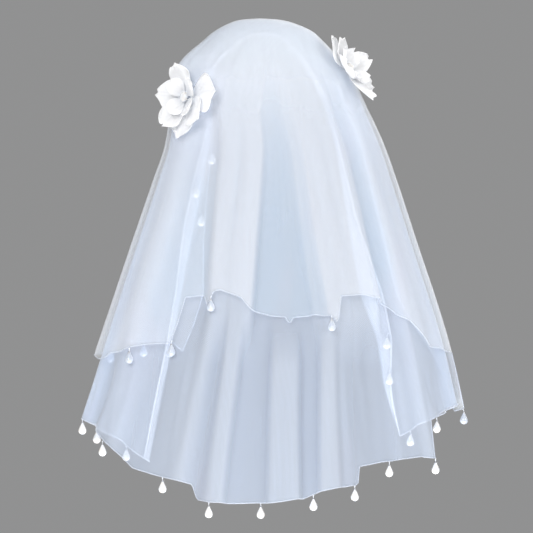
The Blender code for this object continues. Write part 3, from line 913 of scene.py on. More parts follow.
@dataclass(frozen=True)
class PetalFinish:
    """Fine matt silk, pressed into veins, with painted shade: darker and bluer towards the root of the
    petal and along its veins.
    """

    name: str = "petal silk"
    body: Color = (0.975, 0.98, 0.995)
    # the darker, bluer colour of the painted shade at the root and along the veins; it also tints the
    # silk's random mottle
    root: Color = (0.86, 0.90, 0.97)
    rim: Color = (0.98, 0.985, 0.995)
    vein: float = 0.0046
    wander: float = 0.004
    root_spacing: float = 0.35
    rim_share: float = 0.7
    vein_share: float = 0.22
    mottle_share: float = 0.12

    def dress(self) -> bpy.types.Material:
        """Makes the petals' material.

        Returns:
            The material.
        """
        graph = Graph(self.name)
        place = graph.cloth_map()
        reach, across = graph.attribute(REACH), graph.node("SeparateXYZ", {0: place}).outputs[0]
        drift = graph.noise(graph.stretched(place, x=40, y=14), scale=1.0)
        across = graph.math("ADD", across, graph.math("MULTIPLY", drift, self.wander))
        lanes = graph.math("DIVIDE", across, graph.ramp(reach, 0, 1, start=self.root_spacing))
        veins = graph.ramp(graph.math("ABSOLUTE", graph.wave(lanes, 2 * self.vein)), 0.0, 0.45)
        weave = graph.noise(graph.stretched(place, x=1900, y=1400), scale=1.0, detail=1.0)
        mottle = graph.noise(place, scale=90, detail=3.0)
        # painted shade: the silk turns darker and bluer towards the petal's root, where the petals lie over
        # each other
        body = graph.tinted(graph.ramp(reach, 0.05, 0.6), self.root, self.body)
        body = graph.tinted(graph.ramp(reach, 0.82, 1.0, end=self.rim_share), body, self.rim)
        # painted shade along the veins' pressed grooves
        body = graph.tinted(graph.ramp(veins, 0, 1, start=self.vein_share, end=0.0), body, self.root)
        body = graph.tinted(graph.ramp(mottle, 0.3, 0.8, end=self.mottle_share), body, self.root)
        height = graph.math("ADD", graph.math("MULTIPLY", veins, 0.8), graph.math("MULTIPLY", weave, 0.2))
        graph.surface(
            Base_Color=body, Roughness=graph.ramp(mottle, 0.3, 0.7, start=0.48, end=0.62),
            Sheen_Weight=0.8, Sheen_Roughness=0.5, Specular_IOR_Level=0.35,
            Subsurface_Weight=0.5, Subsurface_Radius=(1.0, 1.0, 1.0), Subsurface_Scale=0.004,
        )
        graph.bump(height, depth=0.0004, strength=0.5)
        return graph.material


@dataclass(frozen=True)
class PearlFinish:
    """Nacre: a soft gloss over a body that turns from cream to cool white."""

    name: str = "pearl"
    warm: Color = (0.90, 0.87, 0.83)
    cool: Color = (0.84, 0.87, 0.91)

    def dress(self) -> bpy.types.Material:
        """Makes the pearl's material.

        Returns:
            The material.
        """
        graph = Graph(self.name)
        place = graph.object_map()
        clouds = graph.noise(place, scale=160)
        skin = graph.noise(place, scale=900, detail=3.0)
        graph.surface(
            Base_Color=graph.tinted(graph.ramp(clouds, 0.35, 0.65), self.warm, self.cool),
            Roughness=graph.ramp(skin, 0.3, 0.7, start=0.16, end=0.30),
            Coat_Weight=0.6, Coat_Roughness=0.08, Sheen_Weight=0.2,
            Subsurface_Weight=0.2, Subsurface_Radius=(1.0, 0.9, 0.8), Subsurface_Scale=0.003,
        )
        graph.bump(skin, depth=0.00008, strength=0.5)
        return graph.material


@dataclass(frozen=True)
class SilverFinish:
    """The bead cap's bright plated metal, a little worn on its edges."""

    name: str = "bead cap silver"
    bright: Color = (0.86, 0.86, 0.88)
    dull: Color = (0.62, 0.62, 0.66)

    def dress(self) -> bpy.types.Material:
        """Makes the cap's material.

        Returns:
            The material.
        """
        graph = Graph(self.name)
        wear = graph.noise(graph.object_map(), scale=700, detail=3.0)
        graph.surface(
            Base_Color=graph.tinted(graph.ramp(wear, 0.4, 0.7), self.bright, self.dull),
            Metallic=1.0, Roughness=graph.ramp(wear, 0.3, 0.8, start=0.18, end=0.42),
        )
        graph.bump(wear, depth=0.00005, strength=0.4)
        return graph.material


@dataclass(frozen=True)
class ThreadFinish:
    """Twisted white silk thread."""

    name: str = "silk thread"
    light: Color = (0.93, 0.94, 0.97)
    dark: Color = (0.70, 0.75, 0.84)
    twist: float = 0.0007
    slant: float = 0.9

    def dress(self) -> bpy.types.Material:
        """Makes the thread's material, with its slanted twist.

        Returns:
            The material.
        """
        graph = Graph(self.name)
        part = graph.node("SeparateXYZ", {0: graph.object_map()})
        slanted = graph.math("ADD", part.outputs[2], graph.math("MULTIPLY", part.outputs[0], self.slant))
        strands = graph.ramp(graph.wave(slanted, self.twist), -0.8, 0.8)
        graph.surface(
            Base_Color=graph.tinted(strands, self.dark, self.light),
            Roughness=graph.mixed(strands, 0.6, 0.4), Sheen_Weight=0.3,
        )
        graph.bump(strands, depth=0.0001, strength=0.6)
        return graph.material


@dataclass(frozen=True)
class SatinFinish:
    """Satin drawn round the padded band, with its fine rib and small pulls."""

    name: str = "satin"
    light: Color = (0.90, 0.915, 0.95)
    dark: Color = (0.74, 0.78, 0.86)

    def dress(self) -> bpy.types.Material:
        """Makes the satin's material.

        Returns:
            The material.
        """
        graph = Graph(self.name)
        place = graph.object_map()
        rib = graph.noise(graph.stretched(place, x=900, y=120, z=900), scale=1.0, detail=1.0)
        pulls = graph.noise(graph.stretched(place, x=90, y=200, z=60), scale=1.0)
        graph.surface(
            Base_Color=graph.tinted(graph.ramp(pulls, 0.3, 0.75), self.light, self.dark),
            Roughness=graph.ramp(pulls, 0.2, 0.8, start=0.26, end=0.44), Sheen_Weight=0.25,
            Anisotropic=0.5,
        )
        height = graph.math("ADD", graph.math("MULTIPLY", rib, 0.3), pulls)
        graph.bump(height, depth=0.0004, strength=0.6)
        return graph.material


class Ripple(NamedTuple):
    """A wave along the hem: its height, and the turns and starts of its quick and its slow part."""

    height: float
    quick: float
    quick_start: float
    slow: float
    slow_start: float


RIPPLES = (
    Ripple(1.0, 23, 40, 5.3, 70),
    Ripple(0.6, 37, 10, 3.1, 90),
)


@dataclass
class TierCloth:
    """One tier of net: a sheet over the dome of the head that hangs in folds and is open at the face."""

    name: str
    edges: tuple[Edge, ...]
    hem: tuple[Hem, ...]
    turn_lines: tuple[TurnLine, ...]
    folding: FoldField
    lays: tuple[Lay, ...]
    fall_step: float
    flat: tuple[float, float]
    flat_area: float
    thickness: float = 0.4
    line_step: float = 1.15
    crown_rows: tuple[float, ...] = (1.2, 2.4, 4, 6, 8, 10)
    dome_rows: int = 42
    dome_end: float = 160
    roll_radius: float = 0.65
    corded: bool = False
    cord_radius: float = 1.15
    cord_fade: int = 15
    roll_sides: int = 8
    flutter_reach: float = 90
    flutter_depth: float = 1.3
    gather_reach: float = 74
    merge: float = 0.01
    sheet: bpy.types.Object = field(init=False)
    rolled_edge: bpy.types.Object = field(init=False)

    def edge_azimuth(self, side: Side, drop: Array) -> Array:
        """The azimuth of a front edge, without its sign."""
        azimuths = [row.left if side is Side.LEFT else row.right for row in self.edges]
        return np.interp(drop, [row.drop for row in self.edges], azimuths)

    def turned_width(self, side: Side, drop: Array) -> Array:
        """The width of cloth turned back inside a front edge."""
        widths = [row.left_turn if side is Side.LEFT else row.right_turn for row in self.edges]
        return np.interp(drop, [row.drop for row in self.edges], widths)

    def back_line(self, first: int, share: float, even: float) -> Line:
        """A line of the cloth on the back.

        Args:
            first: the fold line before it.
            share: how far it is from there to the next fold line.
            even: its azimuth on the crown.

        Returns:
            A function from drops to azimuths and to how far inside the cloth the line lies.
        """
        def place(drop: Array) -> tuple[Array, Array]:
            """The line's azimuths and how far inside it lies, which is 0.

            Args:
                drop: distances below the crown.

            Returns:
                The azimuths and the zeros.
            """
            azimuths = self.folding.fold_azimuths(drop)
            azimuth = azimuths[..., first] * (1 - share) + azimuths[..., first + 1] * share
            t = np.clip((drop - EVEN_DROP) / (GATHER_DROP - EVEN_DROP), 0, 1)
            return even * (1 - t) + azimuth * t, np.zeros_like(drop)
        return place

    def side_line(self, side: Side, share: float) -> Line:
        """A line of the cloth between a side and its front edge.

        Args:
            side: the side.
            share: how far the line is from the side to the edge.

        Returns:
            A function from drops to azimuths and to how far inside the cloth the line lies.
        """
        def place(drop: Array) -> tuple[Array, Array]:
            """The line's azimuths at some drops, with zeros for how far inside it lies."""
            azimuth = side.value * (SIDE + share * (self.edge_azimuth(side, drop) - SIDE))
            return azimuth, np.zeros_like(drop)
        return place

    def turned_line(self, side: Side, row: TurnLine) -> Line:
        """A line of the strip that is turned back inside a front edge.

        Args:
            side: the edge's side.
            row: where the line runs on the strip.

        Returns:
            A function from drops to azimuths and to how far inside the cloth the line lies.
        """
        def place(drop: Array) -> tuple[Array, Array]:
            """The line's azimuths and how far inside the cloth it lies.

            Args:
                drop: distances below the crown.

            Returns:
                The azimuths and the depths.
            """
            azimuth = side.value * self.edge_azimuth(side, drop)
            width = self.turned_width(side, drop)
            degree = np.linalg.norm(self.folding.form.one_degree(azimuth, drop), axis=-1)
            return (azimuth - side.value * row.share * width / degree,
                    row.inside * np.minimum(1.0, width / FULL_TURN))
        return place

    def lines(self) -> list[Line]:
        """The lines that the cloth's points lie on.

        Returns:
            All of them, from the left front edge round the back to the right one.
        """
        folds = self.folding.folds
        back = [k for k, fold in enumerate(folds) if -SIDE <= fold.throat <= SIDE]
        spans = []
        for k in back[:-1]:
            widest = max(folds[k + 1].throat - folds[k].throat, folds[k + 1].middle - folds[k].middle)
            steps = math.ceil(widest / self.line_step)
            spans += [(k, i / steps) for i in range(steps)]
        spans.append((back[-2], 1.0))
        sides = math.ceil((self.edges[-1].left - SIDE) / self.line_step)
        evens = [2 * SIDE * i / (len(spans) - 1) - SIDE for i in range(len(spans))]
        lines = [self.turned_line(Side.LEFT, row) for row in reversed(self.turn_lines)]
        lines += [self.side_line(Side.LEFT, (sides - i) / sides) for i in range(sides)]
        lines += [self.back_line(k, share, even) for (k, share), even in zip(spans, evens)]
        lines += [self.side_line(Side.RIGHT, (i + 1) / sides) for i in range(sides)]
        lines += [self.turned_line(Side.RIGHT, row) for row in self.turn_lines]
        return lines

    def hem_drop(self, line: Line) -> float:
        """Seeks where a line meets the hem.

        Args:
            line: the line.

        Returns:
            The drop of that place.
        """
        low, high = self.dome_end, LOWEST_HEM
        azimuths, drops = zip(*self.hem)
        for _ in range(HALVINGS):
            middle = (low + high) / 2
            if middle < np.interp(line(np.array([middle]))[0][0], azimuths, drops):
                low = middle
            else:
                high = middle
        return low

    def flutter(self, azimuth: Array, drop: Array, end: Array) -> Array:
        """The hem's small uneven waves, which die out above it.

        Args:
            azimuth: degrees round the head.
            drop: distances below the crown.
            end: the drop of the hem on each point's line.

        Returns:
            How much further inside the cloth lies.
        """
        near = eased(1 - (end - drop) / self.flutter_reach)
        wave = np.zeros_like(azimuth)
        for ripple in RIPPLES:
            slow = np.sin(np.radians(azimuth * ripple.slow + ripple.slow_start))
            wave += ripple.height * np.sin(np.radians(azimuth * ripple.quick + ripple.quick_start)) * slow
        return self.flutter_depth * near ** 2 * wave

    def points(self, azimuth: Array, drop: Array, end: Array, inside: Array) -> tuple[Array, Array]:
        """Points of the cloth.

        Args:
            azimuth: degrees round the head.
            drop: distances below the crown.
            end: the drop of the hem on each point's line.
            inside: how far inside the cloth each point lies.

        Returns:
            The points in millimetres, and how deep each lies in a fold, from 0 to 1.
        """
        depth = self.folding.folded(azimuth, drop)
        crease = self.folding.creased(azimuth, drop) + self.flutter(azimuth, drop, end)
        lay = np.interp(drop, [row.drop for row in self.lays], [row.under for row in self.lays])
        total = depth + crease + lay + WALL / 2 + inside
        place = self.folding.form.place(azimuth, drop)
        place = place - self.folding.form.outward(azimuth, drop) * total[..., None]
        return place, np.clip((depth + CREASE_SHADE * crease) / DEEPEST_FOLD, 0, 1) ** SHADE_POWER

    def cloth_rows(self, line: Line) -> Array:
        """The places of a line's points.

        Args:
            line: the line.

        Returns:
            Their drops, from the crown to the hem.
        """
        dome = np.linspace(math.sqrt(ARCH_TOP), math.sqrt(self.dome_end), self.dome_rows) ** 2
        end = self.hem_drop(line)
        fall = np.linspace(self.dome_end, end, round((HEM_DROP - self.dome_end) / self.fall_step))[1:]
        return np.concatenate([self.crown_rows, dome, fall])

    def build(self, net: bpy.types.Material, rolled: bpy.types.Material) -> None:
        """Makes the tier and its rolled edge.

        Args:
            net: the cloth's material.
            rolled: the rolled edge's material.
        """
        lines = self.lines()
        drop = np.stack([self.cloth_rows(line) for line in lines])
        places = [line(row) for line, row in zip(lines, drop)]
        azimuth, inside = (np.stack([place[i] for place in places]) for i in (0, 1))
        end = np.repeat(drop[:, -1:], drop.shape[1], axis=1)
        points, fold = self.points(azimuth, drop, end, inside)
        gather = np.exp(-(drop / self.gather_reach) ** 2)
        doubled = eased(1 - (inside.max() - inside) / DOUBLED_FADE) if self.turn_lines else 0 * inside
        round_back = np.abs(azimuth)
        spread = SPREAD_ACROSS.share(round_back) * SPREAD_DOWN.share(drop)
        sides = eased(1 - np.abs(round_back - SIDE) / BUNCH_REACH) * BUNCH_DOWN.share(drop)
        shades = {FOLD_SHADE: fold, GATHER: gather, DOUBLED: doubled, SPREAD: spread, SIDES: sides}
        self.sheet = self.build_sheet(points, azimuth, shades, net)
        self.rolled_edge = self.build_roll(points, azimuth, drop, rolled)

    def cloth_uv(self, points: Array, azimuth: Array) -> Array:
        """The cloth's own map.

        Args:
            points: the sheet's grid of points.
            azimuth: the azimuth of each point.

        Returns:
            Metres across from the middle of the back, and metres down from the crown, for each point.
        """
        steps = np.linalg.norm(np.diff(points, axis=0), axis=-1)
        across = np.concatenate([np.zeros((1, points.shape[1])), np.cumsum(steps, axis=0)])
        middle = np.argmin(np.abs(azimuth[:, -1]))
        across -= across[middle]
        falls = np.linalg.norm(np.diff(points, axis=1), axis=-1)
        down = np.concatenate([np.zeros((points.shape[0], 1)), np.cumsum(falls, axis=1)], axis=1)
        down = (down + down[middle]) / 2
        return np.stack([across, down], axis=-1) * MM

    def build_sheet(self, points: Array, azimuth: Array, shades: dict[str, Array],
                    net: bpy.types.Material) -> bpy.types.Object:
        """The sheet itself, a thin closed shell.

        Args:
            points: a grid of points, a row for each line.
            azimuth: the azimuth of each point.
            shades: numbers from 0 to 1 for each point, by the names that the material reads.
            net: the cloth's material.

        Returns:
            The piece.
        """
        uv = self.cloth_uv(points, azimuth)
        shape = bmesh.new()
        for name in shades:
            shape.verts.layers.float.new(name)
        layers = {name: shape.verts.layers.float[name] for name in shades}
        map_layer = shape.loops.layers.uv.new(CLOTH_MAP)
        form = self.folding.form
        across = form.place(np.array(0.0), np.array(0.0))[0]
        top = form.crown - WALL / 2 - self.lays[0].under
        crown = shape.verts.new((across * MM, 0, top * MM))
        crown[layers[GATHER]] = 1.0
        lines, rows = points.shape[:2]
        grid = []
        for i in range(lines):
            column = []
            for j in range(rows):
                vert = shape.verts.new(points[i, j] * MM)
                for name, layer in layers.items():
                    vert[layer] = shades[name][i, j]
                column.append(vert)
            grid.append(column)
        for i in range(lines - 1):
            face = shape.faces.new((crown, grid[i][0], grid[i + 1][0]))
            for loop, place in zip(face.loops, ((0, 0), uv[i, 0], uv[i + 1, 0])):
                loop[map_layer].uv = place
            for j in range(rows - 1):
                corners = ((i, j), (i, j + 1), (i + 1, j + 1), (i + 1, j))
                face = shape.faces.new([grid[a][b] for a, b in corners])
                for loop, corner in zip(face.loops, corners):
                    loop[map_layer].uv = uv[corner]
        bmesh.ops.remove_doubles(shape, verts=shape.verts, dist=self.merge * MM)
        bmesh.ops.recalc_face_normals(shape, faces=shape.faces)
        piece = finish_mesh(self.name + "_net", shape, net)
        thicken(piece, self.thickness)
        return piece

    def build_roll(self, points: Array, azimuth: Array, drop: Array,
                   rolled: bpy.types.Material) -> bpy.types.Object:
        """The narrow rolled edge along the front edges and the hem.

        Args:
            points: the sheet's grid of points.
            azimuth: the azimuth of each point.
            drop: the drop of each point.
            rolled: the rolled edge's material.

        Returns:
            The piece.
        """
        arch = len(self.crown_rows)
        path = [(0, j) for j in range(arch, drop.shape[1])]
        path += [(i, -1) for i in range(1, len(points) - 1)]
        path += [(-1, j) for j in range(drop.shape[1] - 1, arch, -1)]
        kept = []
        for i, j in path:
            if not kept or np.linalg.norm(points[i, j] - points[kept[-1]]) > self.roll_radius:
                kept.append((i, j))
        places = np.array([points[key] for key in kept])
        normals = np.array([self.folding.form.outward(azimuth[key], drop[key]) for key in kept])
        ahead = unit(np.roll(places, -1, axis=0) - np.roll(places, 1, axis=0))
        across = unit(np.cross(ahead, normals))
        up = np.cross(across, ahead)
        run = np.concatenate([[0], np.cumsum(np.linalg.norm(np.diff(places, axis=0), axis=-1))])
        beside_face = np.array([1.0 if self.corded and i in (0, -1) else 0.0 for i, _ in kept])
        beside_face = np.pad(beside_face, self.cord_fade // 2, mode="wrap")
        corded = np.convolve(beside_face, np.full(self.cord_fade, 1 / self.cord_fade), mode="valid")
        radii = self.roll_radius + (self.cord_radius - self.roll_radius) * corded
        shape = bmesh.new()
        map_layer = shape.loops.layers.uv.new(CLOTH_MAP)
        corded_layer = shape.verts.layers.float.new(CORDED)
        turns = [2 * math.pi * k / self.roll_sides for k in range(self.roll_sides)]
        rings = [[shape.verts.new((p + (a * math.cos(t) + u * math.sin(t)) * r) * MM)
                  for t in turns] for p, a, u, r in zip(places, across, up, radii)]
        for ring, share in zip(rings, corded):
            for vert in ring:
                vert[corded_layer] = share
        girth = 2 * math.pi * self.roll_radius / self.roll_sides
        for i in range(len(rings)):
            following = (i + 1) % len(rings)
            reach = run[following] if following else run[-1] + self.roll_radius
            for k in range(self.roll_sides):
                n = (k + 1) % self.roll_sides
                face = shape.faces.new((rings[i][k], rings[following][k], rings[following][n], rings[i][n]))
                spots = ((k, run[i]), (k, reach), (k + 1, reach), (k + 1, run[i]))
                for loop, (turn, length) in zip(face.loops, spots):
                    loop[map_layer].uv = (turn * girth * MM, length * MM)
        bmesh.ops.recalc_face_normals(shape, faces=shape.faces)
        return finish_mesh(self.name + "_rolled_edge", shape, rolled)

    def declare(self) -> None:
        """Hangs the tier and its rolled edge on the root, hides the frame's part that they replace, and
        logs their faces.
        """
        for piece in (self.sheet, self.rolled_edge):
            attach(piece, "root")
        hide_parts(self.name)
        LOG.info("%s: %d faces, rolled edge: %d faces", self.name, len(self.sheet.data.polygons),
                 len(self.rolled_edge.data.polygons))


class Petal(NamedTuple):
    """A petal: its turn round the flower from straight up, its size, the lift of its tip, and its layer."""

    turn: float
    length: float
    width: float
    lift: float
    layer: int


PETAL_WALL = 1.4           # thickness of a petal's solid
PETAL_ROOT = 4.0           # distance of a petal's root from the middle of the flower
PETAL_CUPS = (0.4, 4.0, 3.5)    # rise of a petal's sides at its tip, in each layer
PETAL_NECK = 0.12          # a petal's width at its root, as a share of its whole width
PETAL_SWELL = 0.92         # share of a half wave that a petal's outline follows
PETAL_FULLNESS = 1.15      # power that sets the widest place beyond the middle
LIFT_POWER = 1.5           # power by which a petal rises towards its tip
TIP_POWER = 5              # power that keeps its scallops to its tip
RIM_POWERS = (3, 6)        # powers that keep its ruffles to its sides and to its tip
PETAL_SHIFTS = (1.7, 0.4)  # by which the ruffles shift from petal to petal, and with the flower's azimuth
UPPER_LAYER = PETAL_WALL + SEAM
BUD_FLOOR = 3 * UPPER_LAYER + 1.0    # clear of the layers of cupped petals
BUD_RADIUS = 6.5
BUD_HEIGHT = 5.0
CORE_SHARE = (0.92, 0.72)  # width and height of the button's core, as shares of the whole button's


FLOWERS = (                # each flower's name, azimuth and drop, with its petals in their order
    ("left_flower", -54, 93, (
        Petal(-82, 57, 46, 5, 0),
        Petal(14, 40, 34, 12, 1),
        Petal(85, 50, 36, 8, 0),
        Petal(140, 43, 36, 12, 1),
        Petal(170, 48, 40, 5, 0),
        Petal(-128, 44, 40, 8, 1),
        Petal(-48, 28, 27, 10, 2),
        Petal(46, 25, 25, 11, 2),
        Petal(138, 24, 26, 11, 2),
        Petal(-136, 27, 26, 10, 2),
    )),
    ("right_flower", 72, 62, (
        Petal(-24, 43, 48, 10, 0),
        Petal(-2, 36, 38, 12, 1),
        Petal(81, 53, 26, 14, 1),
        Petal(122, 46, 46, 8, 0),
        Petal(-176, 47, 42, 9, 1),
        Petal(-93, 35, 33, 12, 1),
        Petal(-38, 25, 25, 11, 2),
        Petal(50, 26, 25, 11, 2),
        Petal(142, 28, 27, 10, 2),
        Petal(-132, 27, 26, 10, 2),
    )),
)


@dataclass
class SilkFlower:
    """A flower at a side of the head: ten petals of silk in three layers round a beaded button."""

    name: str
    azimuth: float
    drop: float
    petals: tuple[Petal, ...]
    form: OuterForm
    rows: int = 26
    lanes: int = 22
    thickness: float = 0.5
    ruffle: float = 1.5
    ruffle_turns: tuple[float, float] = (7, 4)
    waver: float = 0.5
    waver_turns: float = 11
    rib: float = 0.7
    rib_width: float = 0.10
    scallop: float = 0.035
    scallop_turns: float = 5
    rounding: float = 0.10
    notch: float = 0.02
    notch_width: float = 0.16
    bead_radius: float = 0.95
    bead_ring: float = 0.9
    bead_rise: float = 0.74
    bead_floor: float = 0.2
    beads: int = 46

    def directions(self) -> tuple[Array, Array, Array, Array]:
        """Where the flower sits on the cloth, and how it faces.

        Returns:
            Its seat, and its outward, upward and forward directions.
        """
        place = (np.array(float(self.azimuth)), np.array(float(self.drop)))
        face = self.form.outward(*place)
        seat = self.form.place(*place) + face * SEAM
        upward = unit(np.array((0.0, 0.0, 1.0)) - face * face[2])
        forward = np.cross(face, upward)
        return seat, face, upward, forward if forward[1] > 0 else -forward

    def petal_points(self, number: int, petal: Petal) -> tuple[Array, Array, Array]:
        """The middle of a petal's silk.

        Args:
            number: the petal's place in the flower, which shifts its ruffles.
            petal: its sizes.

        Returns:
            A grid of points in millimetres, how far across the petal each is, and its share of the reach.
        """
        seat, face, upward, forward = self.directions()
        turn = math.radians(petal.turn)
        ahead = upward * math.cos(turn) + forward * math.sin(turn)
        side = unit(np.cross(ahead, face))
        out, aside = np.meshgrid(
            np.linspace(0, 1, self.rows), np.linspace(-1, 1, self.lanes), indexing="ij")
        swell = np.sin(math.pi * PETAL_SWELL * out ** PETAL_FULLNESS)
        spread = petal.width / 2 * (PETAL_NECK + (1 - PETAL_NECK) * swell)
        phase = PETAL_SHIFTS[0] * number + PETAL_SHIFTS[1] * self.azimuth
        tip = self.scallop * np.cos(self.scallop_turns * aside + phase) - self.rounding * aside ** 2
        tip = tip - self.notch * np.exp(-(aside / self.notch_width) ** 2)
        reach = PETAL_ROOT + (petal.length - PETAL_ROOT) * (out + tip * out ** TIP_POWER)
        height = PETAL_WALL / 2 + petal.layer * UPPER_LAYER + petal.lift * out ** LIFT_POWER
        height = height + PETAL_CUPS[petal.layer] * out * aside ** 2
        rim = np.maximum(np.abs(aside) ** RIM_POWERS[0] * out, out ** RIM_POWERS[1])
        along, over = self.ruffle_turns
        height = height + self.ruffle * rim * (1 + np.sin(along * out + over * aside + phase)) / 2
        height = height + self.rib * np.exp(-(aside / self.rib_width) ** 2) * np.sin(math.pi * out)
        across = spread * aside + self.waver * rim * np.sin(self.waver_turns * out + phase)
        points = seat + ahead * reach[..., None] + side * across[..., None] + face * height[..., None]
        return points, across, out

    def build_petal(self, number: int, petal: Petal, silk: bpy.types.Material) -> bpy.types.Object:
        """One petal, cut from silk and pressed to its form.

        Args:
            number: the petal's place in the flower.
            petal: its sizes.
            silk: its material.

        Returns:
            The piece.
        """
        points, across, share = self.petal_points(number, petal)
        shape = bmesh.new()
        reach_layer = shape.verts.layers.float.new(REACH)
        map_layer = shape.loops.layers.uv.new(CLOTH_MAP)
        verts = [[shape.verts.new(points[i, j] * MM) for j in range(self.lanes)] for i in range(self.rows)]
        for i in range(self.rows):
            for j in range(self.lanes):
                verts[i][j][reach_layer] = share[i, j]
        for i in range(self.rows - 1):
            for j in range(self.lanes - 1):
                corners = ((i, j), (i, j + 1), (i + 1, j + 1), (i + 1, j))
                made = shape.faces.new([verts[a][b] for a, b in corners])
                for loop, (a, b) in zip(made.loops, corners):
                    loop[map_layer].uv = (across[a, b] * MM, share[a, b] * petal.length * MM)
        shape.normal_update()
        outward = Vector(self.directions()[1])
        if sum(made.normal.dot(outward) for made in shape.faces) < 0:
            bmesh.ops.reverse_faces(shape, faces=shape.faces)
        piece = finish_mesh(f"{self.name}_silk_petal_{number}", shape, silk)
        thicken(piece, self.thickness)
        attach(piece, "root")
        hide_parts(f"{self.name}_petal_{number}")
        return piece

    def build_button(self, pearl: bpy.types.Material) -> bpy.types.Object:
        """Makes the button: a low dome sewn all over with small pearls.

        Args:
            pearl: its material.

        Returns:
            The piece.
        """
        seat, face, upward, _ = self.directions()
        floor = seat + face * BUD_FLOOR
        turn = Matrix((upward, np.cross(face, upward), face)).transposed().to_4x4()
        deselect_all()
        bpy.ops.mesh.primitive_uv_sphere_add(segments=32, ring_count=16, radius=BUD_RADIUS * MM)
        dome = bpy.context.active_object
        wide, high = CORE_SHARE
        with editing():
            bpy.ops.mesh.bisect(plane_co=(0, 0, 0), plane_no=(0, 0, 1), use_fill=True, clear_inner=True)
        with editing():
            bpy.ops.transform.resize(value=(wide, wide, high * BUD_HEIGHT / BUD_RADIUS))
        parts = [dome]
        golden = math.pi * (3 - math.sqrt(5))
        for k in range(self.beads):
            rise = 1 - (k + 0.5) / self.beads
            ring = math.sqrt(1 - rise * rise)
            place = Vector((math.cos(golden * k) * ring * BUD_RADIUS * self.bead_ring,
                            math.sin(golden * k) * ring * BUD_RADIUS * self.bead_ring,
                            rise * BUD_HEIGHT * self.bead_rise + self.bead_floor)) * MM
            bpy.ops.mesh.primitive_ico_sphere_add(
                subdivisions=2, radius=self.bead_radius * MM, location=place)
            parts.append(bpy.context.active_object)
        button = join(f"{self.name}_bead_button", parts)
        settle(button)
        button.data.transform(Matrix.Translation(Vector(floor) * MM) @ turn)
        button.data.shade_smooth()
        button.data.materials.clear()
        button.data.materials.append(pearl)
        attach(button, "root")
        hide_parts(f"{self.name}_button")
        return button

    def build(self, silk: bpy.types.Material, pearl: bpy.types.Material) -> None:
        """Makes the whole flower.

        Args:
            silk: the petals' material.
            pearl: the button's material.
        """
        self.build_button(pearl)
        made = [self.build_petal(number, petal, silk) for number, petal in enumerate(self.petals, 1)]
        LOG.info("%s: %d petals and a button of %d beads", self.name, len(made), self.beads)


